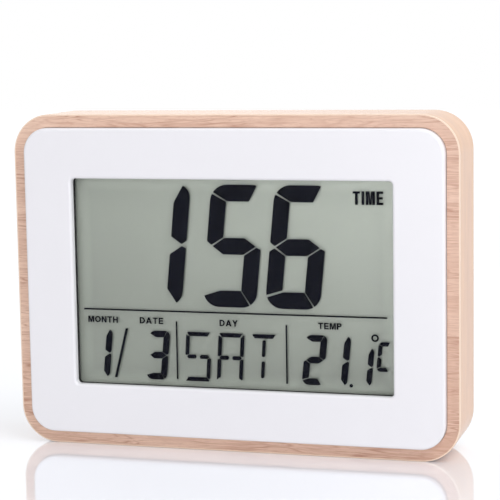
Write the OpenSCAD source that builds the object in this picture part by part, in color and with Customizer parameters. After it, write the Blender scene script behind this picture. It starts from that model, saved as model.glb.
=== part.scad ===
// Digital clock in a veneered wooden ring, with a white front panel and a large liquid crystal
// display. It stands on its lower edge or hangs on a wall screw. The front faces -Y, +X is to the
// right as seen from the front and +Z is up. The origin is under the middle of the body.

/* [Body] */
// Width of the wooden ring
body_w = 205; // [196:0.5:215]
// Height of the wooden ring
body_h = 151.5; // [147:0.5:160]
// Depth of the wooden ring from its front face to its back edge
ring_d = 35.2; // [34:0.2:42]
// Outer corner radius of the wooden ring
body_r = 17.2; // [13:0.2:20]
// Width of wood seen round the front panel
band_w = 6; // [5:0.1:7]
// Width of the step inside the ring that the panel and the cover sit on
step_w = 3; // [2:0.1:3.5]
// Depth of the step that the front panel sits on, behind the wood's front face
front_step = 1.5; // [1:0.1:2.5]
// Thickness of the veneer on the front and round the edge
veneer_t = 0.6; // [0.5:0.1:0.9]
// Radius of the ring's outer edges
veneer_edge_r = 0.35; // [0.2:0.05:0.45]
// Gap between the wood and the plastic that sits in it
fit_gap = 0.2; // [0.15:0.05:0.4]

/* [Front panel] */
// How far the front panel stands proud of the wood
panel_proud = 4; // [3.4:0.1:5]
// Thickness of the front panel's face
panel_t = 2.2; // [1.6:0.1:2.6]
// Thickness of the front panel's rim
rim_t = 2.2; // [1.6:0.1:2.6]
// Radius of the front panel's outer edge
panel_edge_r = 1.2; // [0.6:0.1:1.6]
// Length of the skirt that locates the panel inside the ring
skirt_l = 4; // [2.5:0.1:6]
// Thickness of the skirts of the panel and the cover
skirt_t = 1.8; // [1.2:0.1:2.2]

/* [Window] */
// Width of the display window
window_w = 147.6; // [144:0.2:149]
// Height of the display window
window_h = 94.1; // [91:0.1:95]
// Corner radius of the display window
window_r = 1.7; // [1:0.1:3]
// Radius of the window's front edge
window_edge_r = 1.2; // [0.6:0.1:1.6]
// Depth of the window's white edge
window_lip = 3.2; // [2.8:0.1:3.6]
// Thickness of the clear lens
lens_t = 1; // [0.8:0.1:1.5]
// How far the lens reaches under the window's edge
lens_over = 2.2; // [1.6:0.1:2.6]
// Thickness of the black foam ring between the lens and the display
gasket_t = 1.5; // [1:0.1:2]

/* [Display] */
// Thickness of each glass plate
glass_t = 1.1; // [0.7:0.1:1.3]
// How far the glass reaches past the window
glass_over = 1.7; // [1.2:0.1:2]
// Height of the contact ledge along the top of the front glass
ledge_h = 4.5; // [4:0.1:5]
// Thickness of the liquid crystal layer that shows the segments
layer_t = 0.1; // [0.08:0.01:0.2]
// Thickness of the front polarizer
polarizer_t = 0.2; // [0.15:0.05:0.3]
// Thickness of the reflector behind the rear glass
reflector_t = 0.3; // [0.2:0.05:0.5]
// Width of the seal between the glass plates
seal_w = 1.2; // [0.8:0.1:1.4]
// Thickness of the display holder's back
holder_t = 2; // [1.6:0.1:2.6]
// Thickness of the display holder's side walls
holder_wall = 1.5; // [1:0.1:2]
// Thickness of the contact strip, front edge to back edge of the ledge
strip_t = 2; // [1.5:0.1:2.4]
// Length of the contact strip
strip_l = 140; // [110:1:142]

/* [Shown segments] */
// Height of the large digits
big_h = 55; // [50:0.5:57]
// Width of the large digits
big_w = 25.2; // [22:0.2:27]
// Bar thickness of the large digits
big_bar = 7.45; // [5.5:0.05:8]
// Height of the small digits
small_h = 22.5; // [20:0.1:23]
// Width of the small digits
small_w = 9.9; // [8.5:0.1:10.2]
// Bar thickness of the small digits
small_bar = 3; // [2.2:0.05:3.2]
// Width of the letters of the day
letter_w = 12.15; // [11:0.05:13]
// Bar thickness of the letters of the day
letter_bar = 1.85; // [1.4:0.05:2]
// Thickness of the dividing lines
rule_t = 0.7; // [0.4:0.05:0.9]
// Sideways lean of the digits for each unit of height
digit_lean = 0.1; // [0:0.01:0.12]
// Sideways lean of the letters for each unit of height
letter_lean = 0.06; // [0:0.01:0.1]

/* [Board and buttons] */
// Thickness of the circuit board
board_t = 1.6; // [1:0.1:2]
// Width of the circuit board
board_w = 144; // [142:1:150]
// Height of the circuit board
board_h = 37.7; // [35:0.1:42]
// Distance from one button to the next
button_pitch = 16; // [14:0.5:20]
// Radius of a button cap
button_r = 4; // [3:0.1:4.6]
// Radius of a button cap's edge
button_edge_r = 0.5; // [0.3:0.1:0.7]
// How far a button stands out of the rear cover
button_proud = 0.9; // [0.7:0.05:1.1]
// How far a button travels
button_travel = 0.5; // [0.3:0.05:0.6]
// Side of a square switch
switch_w = 6; // [5:0.1:6.4]
// Height of a switch above the board
switch_h = 3.5; // [3:0.1:4.5]
// Radius of a switch's plunger
plunger_r = 1.75; // [1.4:0.05:2]
// How far a switch's plunger stands out
plunger_out = 1.5; // [1:0.1:3]

/* [Rear cover] */
// Thickness of the rear cover
cover_t = 2.2; // [1.8:0.1:2.6]
// How far the rear cover sits inside the ring's back edge
rear_recess = 1.2; // [1.1:0.05:2]
// Radius of the hanging hole that the wall screw's head goes through
key_hole_r = 4.5; // [4:0.1:5]
// Width of the hanging slot above that hole
key_slot_w = 4.4; // [4.2:0.1:5]
// How far the clock drops when it hangs
key_drop = 7.5; // [6:0.1:8]
// Number of vent slots over the temperature sensor
vent_n = 5; // [3:1:6]
// Length of a vent slot
vent_l = 12; // [8:0.5:16]
// Height of a vent slot
vent_h = 1.4; // [1:0.1:1.8]

/* [Battery bay] */
// Radius of an AA cell
cell_r = 7.05; // [6.9:0.05:7.25]
// Length of an AA cell with its nub
cell_l = 50.2; // [49.5:0.1:50.5]
// Room between a cell and the walls of the bay
cell_gap = 0.2; // [0.15:0.05:0.5]
// Length of a contact spring when the cells are in
spring_l = 4.5; // [3.5:0.1:6]
// Thickness of a contact plate
contact_t = 0.4; // [0.3:0.05:0.6]
// Thickness of the battery door
door_t = 2; // [1.6:0.1:2.4]
// How far the battery door reaches past the bay's opening on each side
door_over = 2.2; // [1.8:0.1:3]
// Radius of the battery door's hinge barrel
barrel_r = 1.8; // [1.6:0.05:2]
// Radius of the battery door's hinge pins
pin_r = 1.1; // [0.8:0.05:1.3]
// Radial running gap round a hinge pin
pin_gap = 0.08; // [0.05:0.01:0.1]

/* [Hidden] */
$fn = 64;
eps = 0.01;
// Small gap between faces that don't press on each other
face_gap = 0.1;
// Gap round loose pieces and in slots
loose_gap = 0.2;
// Gap between a contact and the cell that it touches
touch_gap = 0.05;

// Levels from front to back
panel_y0 = -(panel_proud + ring_d) / 2;
wood_y0 = panel_y0 + panel_proud;
back_y = wood_y0 + ring_d;
seat_y = wood_y0 + front_step;
panel_y1 = panel_y0 + panel_t;
lens_y0 = panel_y0 + window_lip;
lens_y1 = lens_y0 + lens_t;
gasket_y1 = lens_y1 + gasket_t;
polarizer_y1 = gasket_y1 + polarizer_t;
front_glass_y1 = polarizer_y1 + glass_t;
layer_y1 = front_glass_y1 + layer_t;
rear_glass_y1 = layer_y1 + glass_t;
reflector_y1 = rear_glass_y1 + reflector_t;
holder_y1 = reflector_y1 + holder_t;
board_y1 = holder_y1 + board_t;
cover_y1 = back_y - rear_recess;
cover_y0 = cover_y1 - cover_t;

// Sizes across
mid_z = body_h / 2;
panel_w = body_w - 2 * band_w;
panel_h = body_h - 2 * band_w;
panel_r = body_r - band_w;
ring_in_w = panel_w + 2 * fit_gap - 2 * step_w;
ring_in_h = panel_h + 2 * fit_gap - 2 * step_w;
ring_in_r = panel_r + fit_gap - step_w;
skirt_w = ring_in_w - 2 * fit_gap;
skirt_h = ring_in_h - 2 * fit_gap;
skirt_r = ring_in_r - fit_gap;
flange_t = 1.6;

// Window and display
window_x0 = -window_w / 2;
window_z0 = mid_z - window_h / 2;
window_x1 = window_w / 2;
window_z1 = mid_z + window_h / 2;
lens_w = window_w + 2 * lens_over;
lens_h = window_h + 2 * lens_over;
pocket_t = 1.2;
glass_w = window_w + 2 * glass_over;
glass_h = window_h + 2 * glass_over;
glass_z0 = window_z0 - glass_over;
glass_z1 = window_z1 + glass_over;
ledge_z1 = glass_z1 + ledge_h;
polarizer_in = 0.5;
strip_z = glass_z1 + ledge_h / 2;
holder_x1 = max(glass_w, strip_l) / 2 + loose_gap + holder_wall;
holder_z0 = glass_z0 - loose_gap - holder_wall;
holder_z1 = ledge_z1 + loose_gap + holder_wall;

// Screws through the board and the holder into the front panel
boss_r = 3.2;
boss_gap = 0.4;
small_screw_r = 1;
small_pilot_r = 1.05;
pilot_floor = 0.4;
small_hole_r = 1.3;
small_head_r = 2.4;
small_head_t = 1.6;
small_screw_l = 7.5;
side_boss_x = holder_x1 + boss_gap + boss_r;
top_boss_z = holder_z1 + boss_gap + boss_r;
side_boss_up = 32;
top_boss_pitch = 45;
ear_wall = 0.4;
ear_r = boss_r + ear_wall;
board_screw_at = [[-side_boss_x, mid_z + side_boss_up], [side_boss_x, mid_z + side_boss_up],
    for (i = [-1:1]) [i * top_boss_pitch, top_boss_z]];
holder_screw_at = [[-side_boss_x, mid_z - side_boss_up], [side_boss_x, mid_z - side_boss_up]];

// Corner posts that the rear cover is screwed to
post_in = 12;
post_r = 4.2;
post_x = panel_w / 2 - post_in;
post_up = panel_h / 2 - post_in;
post_at = [for (sx = [-1, 1], sz = [-1, 1]) [sx * post_x, mid_z + sz * post_up]];
tube_l = 14;
tube_r = 4.8;
tube_floor = 3;
post_y1 = cover_y0 - tube_l - face_gap;
screw_r = 1.35;
screw_pilot_r = 1.4;
screw_hole_r = 1.7;
screw_head_r = 2.9;
screw_head_t = 2.2;
screw_sink_r = 3.4;
screw_l = 11;
screw_y = cover_y0 - tube_l + tube_floor;

// Board, switches and buttons
board_z1 = top_boss_z + ear_r;
board_z0 = board_z1 - board_h;
button_up = 14;
button_n = 4;
button_z = board_z0 + button_up;
button_x = [for (i = [0:button_n - 1]) (i - (button_n - 1) / 2) * button_pitch];
switch_y1 = board_y1 + switch_h;
plunger_y1 = switch_y1 + plunger_out;
plunger_in = 1.4;
plunger_gap = 0.1;
button_gap = 0.1;
collar_r = button_r + 1.2;
collar_t = 1;
collar_y1 = cover_y0 - face_gap;
stem_r = 2;
guide_t = 1.5;
guide_l = 6;
sensor_in = 14;
sensor_x = board_w / 2 - sensor_in;
sensor_z = button_z - 2;
sensor_leg_l = 7;
sensor_leg_r = 0.3;
sensor_leg_x = 0.8;
sensor_bead_r = 1.4;
vent_pitch = 3;

// Other parts on the board
chip_x = -48;
chip_z = button_z + 4;
chip_r = 8;
chip_t = 1.8;
crystal_x = -36.5;
crystal_z = button_z - 6;
crystal_r = 1;
crystal_l = 6;
capacitor_x = [38, 46];
capacitor_z = button_z - 6;
capacitor_r = 2;
capacitor_l = 5.4;
resistor_n = 5;
resistor_in = 6;
resistor_x = -board_w / 2 + resistor_in;
resistor_z = button_z - 8;
resistor_pitch = 4;
resistor_size = [2, 0.55, 1.25];

// Hanging hole
key_clear = 1;
key_z = button_z + collar_r + button_gap + guide_t + key_hole_r + key_clear;

// Battery bay, two cells side by side along X
bay_z = 50;
bay_wall = 1.6;
bay_in_w = cell_l + spring_l + 2 * contact_t + 2 * touch_gap;
cell_pitch = 2 * cell_r + cell_gap;
bay_in_h = 2 * cell_pitch + cell_gap;
cell_y = cover_y1 - door_t - cell_gap - cell_r;
bay_floor_y1 = cell_y - cell_r - cell_gap;
bay_floor_y0 = bay_floor_y1 - bay_wall;
cell_at = [bay_z + cell_pitch / 2, bay_z - cell_pitch / 2];
nub_r = 2.75;
nub_l = 1.2;
contact_x = bay_in_w / 2;
contact_w = 12;
contact_h = 10;
tab_w = 3;
tab_out = 2;
tab_y0 = bay_floor_y0 - tab_out;
door_gap = 0.3;
door_w = bay_in_w + 2 * door_over;
door_z0 = bay_z - bay_in_h / 2 - door_over - 2 * barrel_r + bay_wall;
door_z1 = bay_z + bay_in_h / 2 + door_over;
hinge_y = cover_y1 - barrel_r;
hinge_z = door_z0 + barrel_r;
pin_l = 2.4;
lug_t = 3.2;
lug_wall = 1.4;
lug_r = pin_r + pin_gap + lug_wall;
latch_w = 14;
latch_h = 5;
latch_t = 1.2;
latch_l = 2.4;
scoop_t = 1.2;
shelf_t = 1.2;
shelf_y0 = hinge_y - barrel_r - door_gap - shelf_t;

// Cone springs
spring_turns = 3;
spring_steps = 8;
spring_wire_r = 0.35;
spring_wide_r = 4.6;
spring_narrow_r = 3;
spring_end = 0.02;

// Leads from the contacts to the board
lead_r = 0.65;
lead_y = (tab_y0 + holder_y1) / 2;
lead_z1 = board_z0 + 4;
lead_rise = 4;
lead_bend = 1.5;
red_x = -34;
black_x = -38;

// Places and sizes in the segment pattern, from the window's lower left corner
row_up = 2.2;
temp_up = 2.7;
rule_up = 33.8;
rule_left = 2.05;
rule_l = 141.6;
rule_right = 3.95;
bar_1_in = 46.6;
bar_2_in = 98;
bar_low = 2.75;
bar_high = 29.25;
big_up = 36.45;
big_room = 57.65;
hour_in = 24.1;
minute_in = 58.9;
minute_pitch = 29.3;
month_in = 3.8;
slash_in = 16.85;
slash_run = 5.85;
slash_w = 1.25;
slash_low = 0.2;
date_in = 31.45;
day_in = 49.85;
day_pitch = 15.3;
temp_in = 104.7;
temp_pitch = 10.75;
dot_in = 127.3;
dot_r = 0.8;
tenth_in = 128.75;
tenth_up = 3.1;
tenth_h = 17.1;
tenth_w = 7.5;
tenth_bar = 2.45;
ring_in = 138.15;
ring_up = 24.75;
ring_r = 1.7;
ring_t = 0.75;
unit_in = 138.55;
unit_up = 9.9;
unit_w = 6;
unit_h = 13.15;
unit_bar = 1.85;

// The pattern fits itself to the window
fit_w = window_w / (rule_left + rule_l + rule_right);
fit_h = window_h / (big_up + big_room);
fit_t = min(fit_w, fit_h);

// Flat outlines are drawn with x across and y up, then stood up between two levels
module slab(y0, y1) {
    translate([0, y1, 0]) rotate([90, 0, 0]) linear_extrude(height = y1 - y0) children();
}

// Round rod along Y
module rod(x, z, y0, y1, r) {
    translate([x, y1, z]) rotate([90, 0, 0]) cylinder(h = y1 - y0, r = r);
}

// Round rod along Y with a round edge at its back end
module round_rod(x, z, y0, y1, r, edge_r) {
    translate([x, y0, z]) rotate([-90, 0, 0]) rotate_extrude() {
        square([r - edge_r, y1 - y0]);
        square([r, y1 - y0 - edge_r]);
        translate([r - edge_r, y1 - y0 - edge_r]) circle(edge_r);
    }
}

// Rectangle with round corners about the middle of the clock
module round_rect(w, h, r) {
    translate([0, mid_z]) {
        square([w - 2 * r, h], center = true);
        square([w, h - 2 * r], center = true);
        for (sx = [-1, 1], sy = [-1, 1])
            translate([sx * (w / 2 - r), sy * (h / 2 - r)]) circle(r);
    }
}

module box_rect(x0, z0, x1, z1) {
    translate([x0, z0]) square([x1 - x0, z1 - z0]);
}

// Runs a profile round a rounded rectangle: the profile's x points outwards from the inner
// outline of w by h with corner radius r, and its y goes from front to back
module round_the_edge(w, h, r, y) {
    straight_w = w - 2 * r;
    straight_h = h - 2 * r;
    translate([0, y, mid_z]) rotate([-90, 0, 0]) {
        for (a = [0, 180]) rotate([0, 0, a]) {
            translate([-straight_w / 2, h / 2 - r, 0]) rotate([90, 0, 90])
                linear_extrude(height = straight_w) translate([r, 0]) children();
            translate([w / 2 - r, straight_h / 2, 0]) rotate([90, 0, 0])
                linear_extrude(height = straight_h) translate([r, 0]) children();
        }
        for (a = [0, 90, 180, 270]) rotate([0, 0, a]) {
            half = a % 180 == 0 ? [w / 2 - r, h / 2 - r] : [h / 2 - r, w / 2 - r];
            translate([half[0], half[1], 0]) rotate_extrude(angle = 90)
                translate([r, 0]) children();
        }
    }
}

module wood_ring() {
    color("burlywood") difference() {
        slab(wood_y0 + veneer_t, back_y)
            round_rect(body_w - 2 * veneer_t, body_h - 2 * veneer_t, body_r - veneer_t);
        slab(wood_y0, back_y + 1) round_rect(ring_in_w, ring_in_h, ring_in_r);
        slab(wood_y0, seat_y)
            round_rect(panel_w + 2 * fit_gap, panel_h + 2 * fit_gap, panel_r + fit_gap);
        slab(cover_y0, back_y + 1)
            round_rect(panel_w + 2 * fit_gap, panel_h + 2 * fit_gap, panel_r + fit_gap);
    }
}

module front_veneer() {
    color("wheat") slab(wood_y0, wood_y0 + veneer_t) difference() {
        round_rect(body_w - 2 * veneer_t, body_h - 2 * veneer_t, body_r - veneer_t);
        round_rect(panel_w + 2 * fit_gap, panel_h + 2 * fit_gap, panel_r + fit_gap);
    }
}

// Material that a round outer edge of the ring leaves out, seen from the front edge
module ring_edge_profile() {
    difference() {
        translate([-veneer_edge_r, -1]) square(veneer_edge_r + 1);
        translate([-veneer_edge_r, veneer_edge_r]) circle(veneer_edge_r);
    }
}

module edge_veneer() {
    color("wheat") difference() {
        slab(wood_y0, back_y) difference() {
            round_rect(body_w, body_h, body_r);
            round_rect(body_w - 2 * veneer_t, body_h - 2 * veneer_t, body_r - veneer_t);
        }
        round_the_edge(body_w, body_h, body_r, wood_y0) ring_edge_profile();
        round_the_edge(body_w, body_h, body_r, back_y) mirror([0, 1]) ring_edge_profile();
    }
}

// Panel rim with its round front edge, as a profile that starts inside the rim
module rim_profile() {
    square([rim_t - panel_edge_r, seat_y - panel_y0]);
    translate([0, panel_edge_r]) square([rim_t, seat_y - panel_y0 - panel_edge_r]);
    translate([rim_t - panel_edge_r, panel_edge_r]) circle(panel_edge_r);
}

// Material that the window's round front edge leaves out
module window_edge_profile() {
    difference() {
        square(window_edge_r);
        translate([window_edge_r, window_edge_r]) circle(window_edge_r);
    }
    translate([-eps, -1]) square([window_edge_r + eps, 1]);
}

module front_panel() {
    in_w = panel_w - 2 * rim_t;
    in_h = panel_h - 2 * rim_t;
    in_r = panel_r - rim_t;
    color("white") difference() {
        union() {
            slab(panel_y0, panel_y1) round_rect(in_w + eps, in_h + eps, in_r + eps / 2);
            round_the_edge(in_w, in_h, in_r, panel_y0) rim_profile();
            slab(seat_y - flange_t, seat_y) difference() {
                round_rect(in_w + eps, in_h + eps, in_r + eps / 2);
                round_rect(skirt_w - 2 * skirt_t, skirt_h - 2 * skirt_t, skirt_r - skirt_t);
            }
            slab(seat_y - flange_t, seat_y + skirt_l) difference() {
                round_rect(skirt_w, skirt_h, skirt_r);
                round_rect(skirt_w - 2 * skirt_t, skirt_h - 2 * skirt_t, skirt_r - skirt_t);
            }
            slab(panel_y0, lens_y0) round_rect(lens_w + 2 * (loose_gap + pocket_t),
                lens_h + 2 * (loose_gap + pocket_t), window_r + lens_over);
            slab(panel_y0, gasket_y1) difference() {
                round_rect(lens_w + 2 * (loose_gap + pocket_t),
                    lens_h + 2 * (loose_gap + pocket_t), window_r + lens_over);
                round_rect(lens_w + 2 * loose_gap, lens_h + 2 * loose_gap, window_r);
            }
            for (p = concat(board_screw_at, holder_screw_at))
                rod(p[0], p[1], panel_y0 + panel_t / 2, reflector_y1, boss_r);
            for (p = post_at) rod(p[0], p[1], panel_y0 + panel_t / 2, post_y1, post_r);
        }
        slab(panel_y0 - 1, gasket_y1 + 1) round_rect(window_w, window_h, window_r);
        round_the_edge(window_w, window_h, window_r, panel_y0) window_edge_profile();
        for (p = concat(board_screw_at, holder_screw_at))
            rod(p[0], p[1], panel_y1 + pilot_floor, reflector_y1 + 1, small_pilot_r);
        for (p = post_at) rod(p[0], p[1], post_y1 - screw_l, post_y1 + 1, screw_pilot_r);
    }
}

module window_lens() {
    color([0.9, 0.95, 1, 0.3]) slab(lens_y0, lens_y1) round_rect(lens_w, lens_h, window_r);
}

module window_gasket() {
    color("black") slab(lens_y1, gasket_y1) difference() {
        round_rect(lens_w, lens_h, window_r);
        round_rect(window_w, window_h, window_r);
    }
}

module front_polarizer() {
    grow = glass_over - polarizer_in;
    color([0.75, 0.78, 0.74, 0.3]) slab(gasket_y1, polarizer_y1)
        box_rect(window_x0 - grow, window_z0 - grow, window_x1 + grow, window_z1 + grow);
}

module front_glass() {
    color([0.8, 0.9, 0.85, 0.3]) slab(polarizer_y1, front_glass_y1)
        box_rect(-glass_w / 2, glass_z0, glass_w / 2, ledge_z1);
}

module glass_seal() {
    color("dimgray") slab(front_glass_y1, layer_y1) difference() {
        box_rect(-glass_w / 2, glass_z0, glass_w / 2, glass_z1);
        box_rect(-glass_w / 2 + seal_w, glass_z0 + seal_w,
            glass_w / 2 - seal_w, glass_z1 - seal_w);
    }
}

module rear_glass() {
    color([0.8, 0.9, 0.85, 0.3]) slab(layer_y1, rear_glass_y1)
        box_rect(-glass_w / 2, glass_z0, glass_w / 2, glass_z1);
}

module rear_reflector() {
    color([0.66, 0.7, 0.65]) slab(rear_glass_y1, reflector_y1)
        box_rect(-glass_w / 2, glass_z0, glass_w / 2, glass_z1);
}

// Points of an arc about a centre, from one angle to another
function arc(c, r, a0, a1, n = 6) =
    [for (i = [0:n]) let (a = a0 + (a1 - a0) * i / n) c + r * [cos(a), sin(a)]];

// Outline of one bar of a digit that is w wide and h high, with bars t thick. The bars are
// named a to g, clockwise from the top, with g in the middle. Every offset is a share of t.
function digit_bar(name, w, h, t) =
    let (m = h / 2,
        top_left = [0.94 * t, h - 0.94 * t], top_right = [w - 0.87 * t, h - 0.87 * t],
        low_right = [w - 0.87 * t, 0.87 * t], low_left = [1.11 * t, 1.11 * t])
    name == "a" ? concat([[1.07 * t, h - t]], arc(top_left, 0.94 * t, 149, 90),
        arc(top_right, 0.87 * t, 90, 70), [[w - 0.97 * t, h - t]]) :
    name == "b" ? concat([[w - t, h - 1.1 * t]], arc(top_right, 0.87 * t, 65, 0),
        [[w, m + 0.3 * t], [w - 0.3 * t, m + 0.075 * t], [w - t, m + 0.53 * t]]) :
    name == "c" ? concat([[w - t, m - 0.55 * t], [w - 0.28 * t, m - 0.05 * t],
        [w, m - 0.18 * t]], arc(low_right, 0.87 * t, 0, -52.6), [[w - t, 1.03 * t]]) :
    name == "d" ? concat([[w - 1.03 * t, t]], arc(low_right, 0.87 * t, -58, -90),
        arc(low_left, 1.11 * t, 270, 203), [[1.07 * t, t]]) :
    name == "e" ? concat([[t, 1.11 * t]], arc(low_left, 1.11 * t, 195.4, 180, 3),
        [[0, m - 0.25 * t], [0.3 * t, m - 0.075 * t], [t, m - 0.54 * t]]) :
    name == "f" ? concat([[t, m + 0.53 * t], [0.3 * t, m + 0.07 * t], [0, m + 0.29 * t]],
        arc(top_left, 0.94 * t, 180, 156, 3), [[t, h - 1.02 * t]]) :
    [[0.37 * t, m], [1.07 * t, m + t / 2], [w - 1.05 * t, m + t / 2],
        [w - 0.32 * t, m], [w - 1.05 * t, m - t / 2], [1.07 * t, m - t / 2]];

// Outline of one bar of a letter: the middle bar is split into l and r, and the upright
// bars on the centre line are u above and v below
function letter_bar_points(name, w, h, t) =
    let (m = h / 2)
    name == "a" ? [[0.2 * t, h - 0.2 * t], [0.45 * t, h], [w - 0.5 * t, h],
        [w - 1.15 * t, h - 1.03 * t], [0.93 * t, h - 1.03 * t]] :
    name == "b" ? [[w, m + 0.45 * t], [w, h - 0.6 * t], [w - 0.25 * t, h - 0.4 * t],
        [w - 0.95 * t, h - 1.15 * t], [w - 0.95 * t, m + 0.6 * t], [w - 0.4 * t, m + 0.28 * t]] :
    name == "c" ? [[w, m - 0.45 * t], [w, 0.85 * t], [w - 0.3 * t, 0.65 * t],
        [w - 0.95 * t, 1.2 * t], [w - 0.95 * t, m - 0.6 * t], [w - 0.4 * t, m - 0.28 * t]] :
    name == "d" ? [[0.38 * t, 0], [w - 0.32 * t, 0], [w - 0.2 * t, 0.35 * t],
        [w - 0.84 * t, t], [t, t]] :
    name == "e" ? [[0, m - 0.45 * t], [0, 0.6 * t], [0.95 * t, 1.3 * t],
        [0.95 * t, m - 0.6 * t], [0.4 * t, m - 0.28 * t]] :
    name == "f" ? [[0, m + 0.45 * t], [0, h - 0.75 * t], [0.15 * t, h - 0.65 * t],
        [0.95 * t, h - 1.2 * t], [0.95 * t, m + 0.6 * t], [0.4 * t, m + 0.28 * t]] :
    name == "l" ? [[0.42 * t, m], [0.88 * t, m + t / 2], [w / 2 - 0.65 * t, m + t / 2],
        [w / 2 - 0.36 * t, m], [w / 2 - 0.65 * t, m - t / 2], [0.88 * t, m - t / 2]] :
    name == "r" ? [for (p = letter_bar_points("l", w, h, t)) [w - p[0], p[1]]] :
    name == "u" ? [[w / 2 - 0.42 * t, m + 0.8 * t], [w / 2 - 0.42 * t, h - 1.7 * t],
        [w / 2 - 0.2 * t, h - 1.43 * t], [w / 2 + 0.2 * t, h - 1.43 * t],
        [w / 2 + 0.42 * t, h - 1.7 * t], [w / 2 + 0.42 * t, m + 0.8 * t],
        [w / 2 + 0.2 * t, m + 0.55 * t], [w / 2 - 0.2 * t, m + 0.55 * t]] :
    [for (p = letter_bar_points("u", w, h, t)) [p[0], h - p[1]]];

// Leans an outline to the right by its height above the row
function lean(points, by) = [for (p = points) [p[0] + by * p[1], p[1]]];

// Moves to a place in the pattern
module in_pattern(x, z) {
    translate([window_x0 + x * fit_w, window_z0 + z * fit_h]) children();
}

module digit(x, z, w, h, t, bars) {
    for (name = bars) in_pattern(x, z)
        polygon(lean(digit_bar(name, w * fit_w, h * fit_h, t * fit_t), digit_lean));
}

module letter(i, bars) {
    for (name = bars) in_pattern(day_in + i * day_pitch, row_up)
        polygon(lean(letter_bar_points(name, letter_w * fit_w, small_h * fit_h,
            letter_bar * fit_t), letter_lean));
}

module display_segments() {
    one = "bc";
    slash_h = small_h + 2 * slash_low;
    color([0.11, 0.12, 0.16]) slab(front_glass_y1, layer_y1) {
        digit(hour_in, big_up, big_w, big_h, big_bar, one);
        digit(minute_in, big_up, big_w, big_h, big_bar, "acdfg");
        digit(minute_in + minute_pitch, big_up, big_w, big_h, big_bar, "acdefg");
        digit(month_in, row_up, small_w, small_h, small_bar, one);
        digit(date_in, row_up, small_w, small_h, small_bar, "abcdg");
        letter(0, "afclrd");
        letter(1, "abcefrl");
        letter(2, "auv");
        digit(temp_in, temp_up, small_w, small_h, small_bar, "abdeg");
        digit(temp_in + temp_pitch, temp_up, small_w, small_h, small_bar, one);
        digit(tenth_in, tenth_up, tenth_w, tenth_h, tenth_bar, one);
        digit(unit_in, unit_up, unit_w, unit_h, unit_bar, "adef");
        in_pattern(slash_in - slash_w / 2, row_up + slash_low) polygon([
            [0, 0], [slash_w * fit_t, 0],
            [slash_w * fit_t + slash_run * fit_w, slash_h * fit_h],
            [slash_run * fit_w, slash_h * fit_h]]);
        in_pattern(dot_in, temp_up + dot_r / 2) circle(dot_r * fit_t);
        in_pattern(ring_in, ring_up) difference() {
            circle(ring_r * fit_t);
            circle((ring_r - ring_t) * fit_t);
        }
        in_pattern(rule_left, rule_up) translate([0, -rule_t / 2])
            square([rule_l * fit_w, rule_t]);
        for (x = [bar_1_in, bar_2_in]) in_pattern(x, bar_low) translate([-rule_t / 2, 0])
            square([rule_t, (bar_high - bar_low) * fit_h]);
    }
}

module contact_strip() {
    color("hotpink") slab(front_glass_y1, holder_y1) translate([0, strip_z])
        square([strip_l, strip_t], center = true);
}

// Outline of the holder's back with an ear at each screw
module holder_outline() {
    box_rect(-holder_x1, holder_z0, holder_x1, holder_z1);
    for (p = concat(board_screw_at, holder_screw_at)) translate(p) circle(ear_r);
    for (sz = [-1, 1]) box_rect(-side_boss_x, mid_z + sz * side_boss_up - ear_r,
        side_boss_x, mid_z + sz * side_boss_up + ear_r);
    for (i = [-1:1]) box_rect(i * top_boss_pitch - ear_r, mid_z,
        i * top_boss_pitch + ear_r, top_boss_z);
}

module display_holder() {
    color([0.12, 0.12, 0.13]) difference() {
        union() {
            slab(reflector_y1, holder_y1) holder_outline();
            slab(polarizer_y1, reflector_y1 + eps)
                box_rect(-holder_x1, holder_z0, holder_x1, holder_z1);
        }
        slab(polarizer_y1 - 1, reflector_y1) box_rect(-glass_w / 2 - loose_gap,
            glass_z0 - loose_gap, glass_w / 2 + loose_gap, ledge_z1 + loose_gap);
        slab(polarizer_y1 - 1, holder_y1 + 1) translate([0, strip_z])
            square([strip_l + loose_gap, strip_t + loose_gap], center = true);
        for (p = concat(board_screw_at, holder_screw_at))
            rod(p[0], p[1], reflector_y1 - 1, holder_y1 + 1, small_hole_r);
    }
}

// Pan-head screw along Y with its head's underside at y
module pan_screw(p, y, r, l, head_r, head_t) {
    difference() {
        union() {
            rod(p[0], p[1], y - l, y + eps, r);
            rod(p[0], p[1], y, y + head_t, head_r);
        }
        for (a = [0, 90]) translate([p[0], y + head_t, p[1]]) rotate([0, a, 0])
            cube([head_r * 1.1, head_t, head_r * 0.25], center = true);
    }
}

module holder_screws() {
    color("silver") for (p = holder_screw_at)
        pan_screw(p, holder_y1, small_screw_r, small_screw_l - board_t, small_head_r,
            small_head_t);
}

module board_screws() {
    color("silver") for (p = board_screw_at)
        pan_screw(p, board_y1, small_screw_r, small_screw_l, small_head_r, small_head_t);
}

module circuit_board() {
    color("darkgreen") difference() {
        slab(holder_y1, board_y1) {
            box_rect(-board_w / 2, board_z0, board_w / 2, board_z1);
            box_rect(-side_boss_x - ear_r, mid_z + side_boss_up - ear_r,
                side_boss_x + ear_r, mid_z + side_boss_up + ear_r);
        }
        for (p = board_screw_at) rod(p[0], p[1], holder_y1 - 1, board_y1 + 1, small_hole_r);
    }
}

module chip_cap() {
    dome_r = (chip_r * chip_r + chip_t * chip_t) / (2 * chip_t);
    color([0.08, 0.08, 0.08]) translate([chip_x, board_y1, chip_z]) rotate([-90, 0, 0])
        rotate_extrude() intersection() {
            translate([0, chip_t - dome_r]) circle(dome_r, $fn = 4 * $fn);
            square([chip_r, chip_t]);
        }
}

module quartz_crystal() {
    color("silver") translate([crystal_x, board_y1 + crystal_r, crystal_z])
        cylinder(h = crystal_l, r = crystal_r);
}

module capacitors() {
    color("royalblue") for (x = capacitor_x)
        rod(x, capacitor_z, board_y1, board_y1 + capacitor_l, capacitor_r);
}

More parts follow.
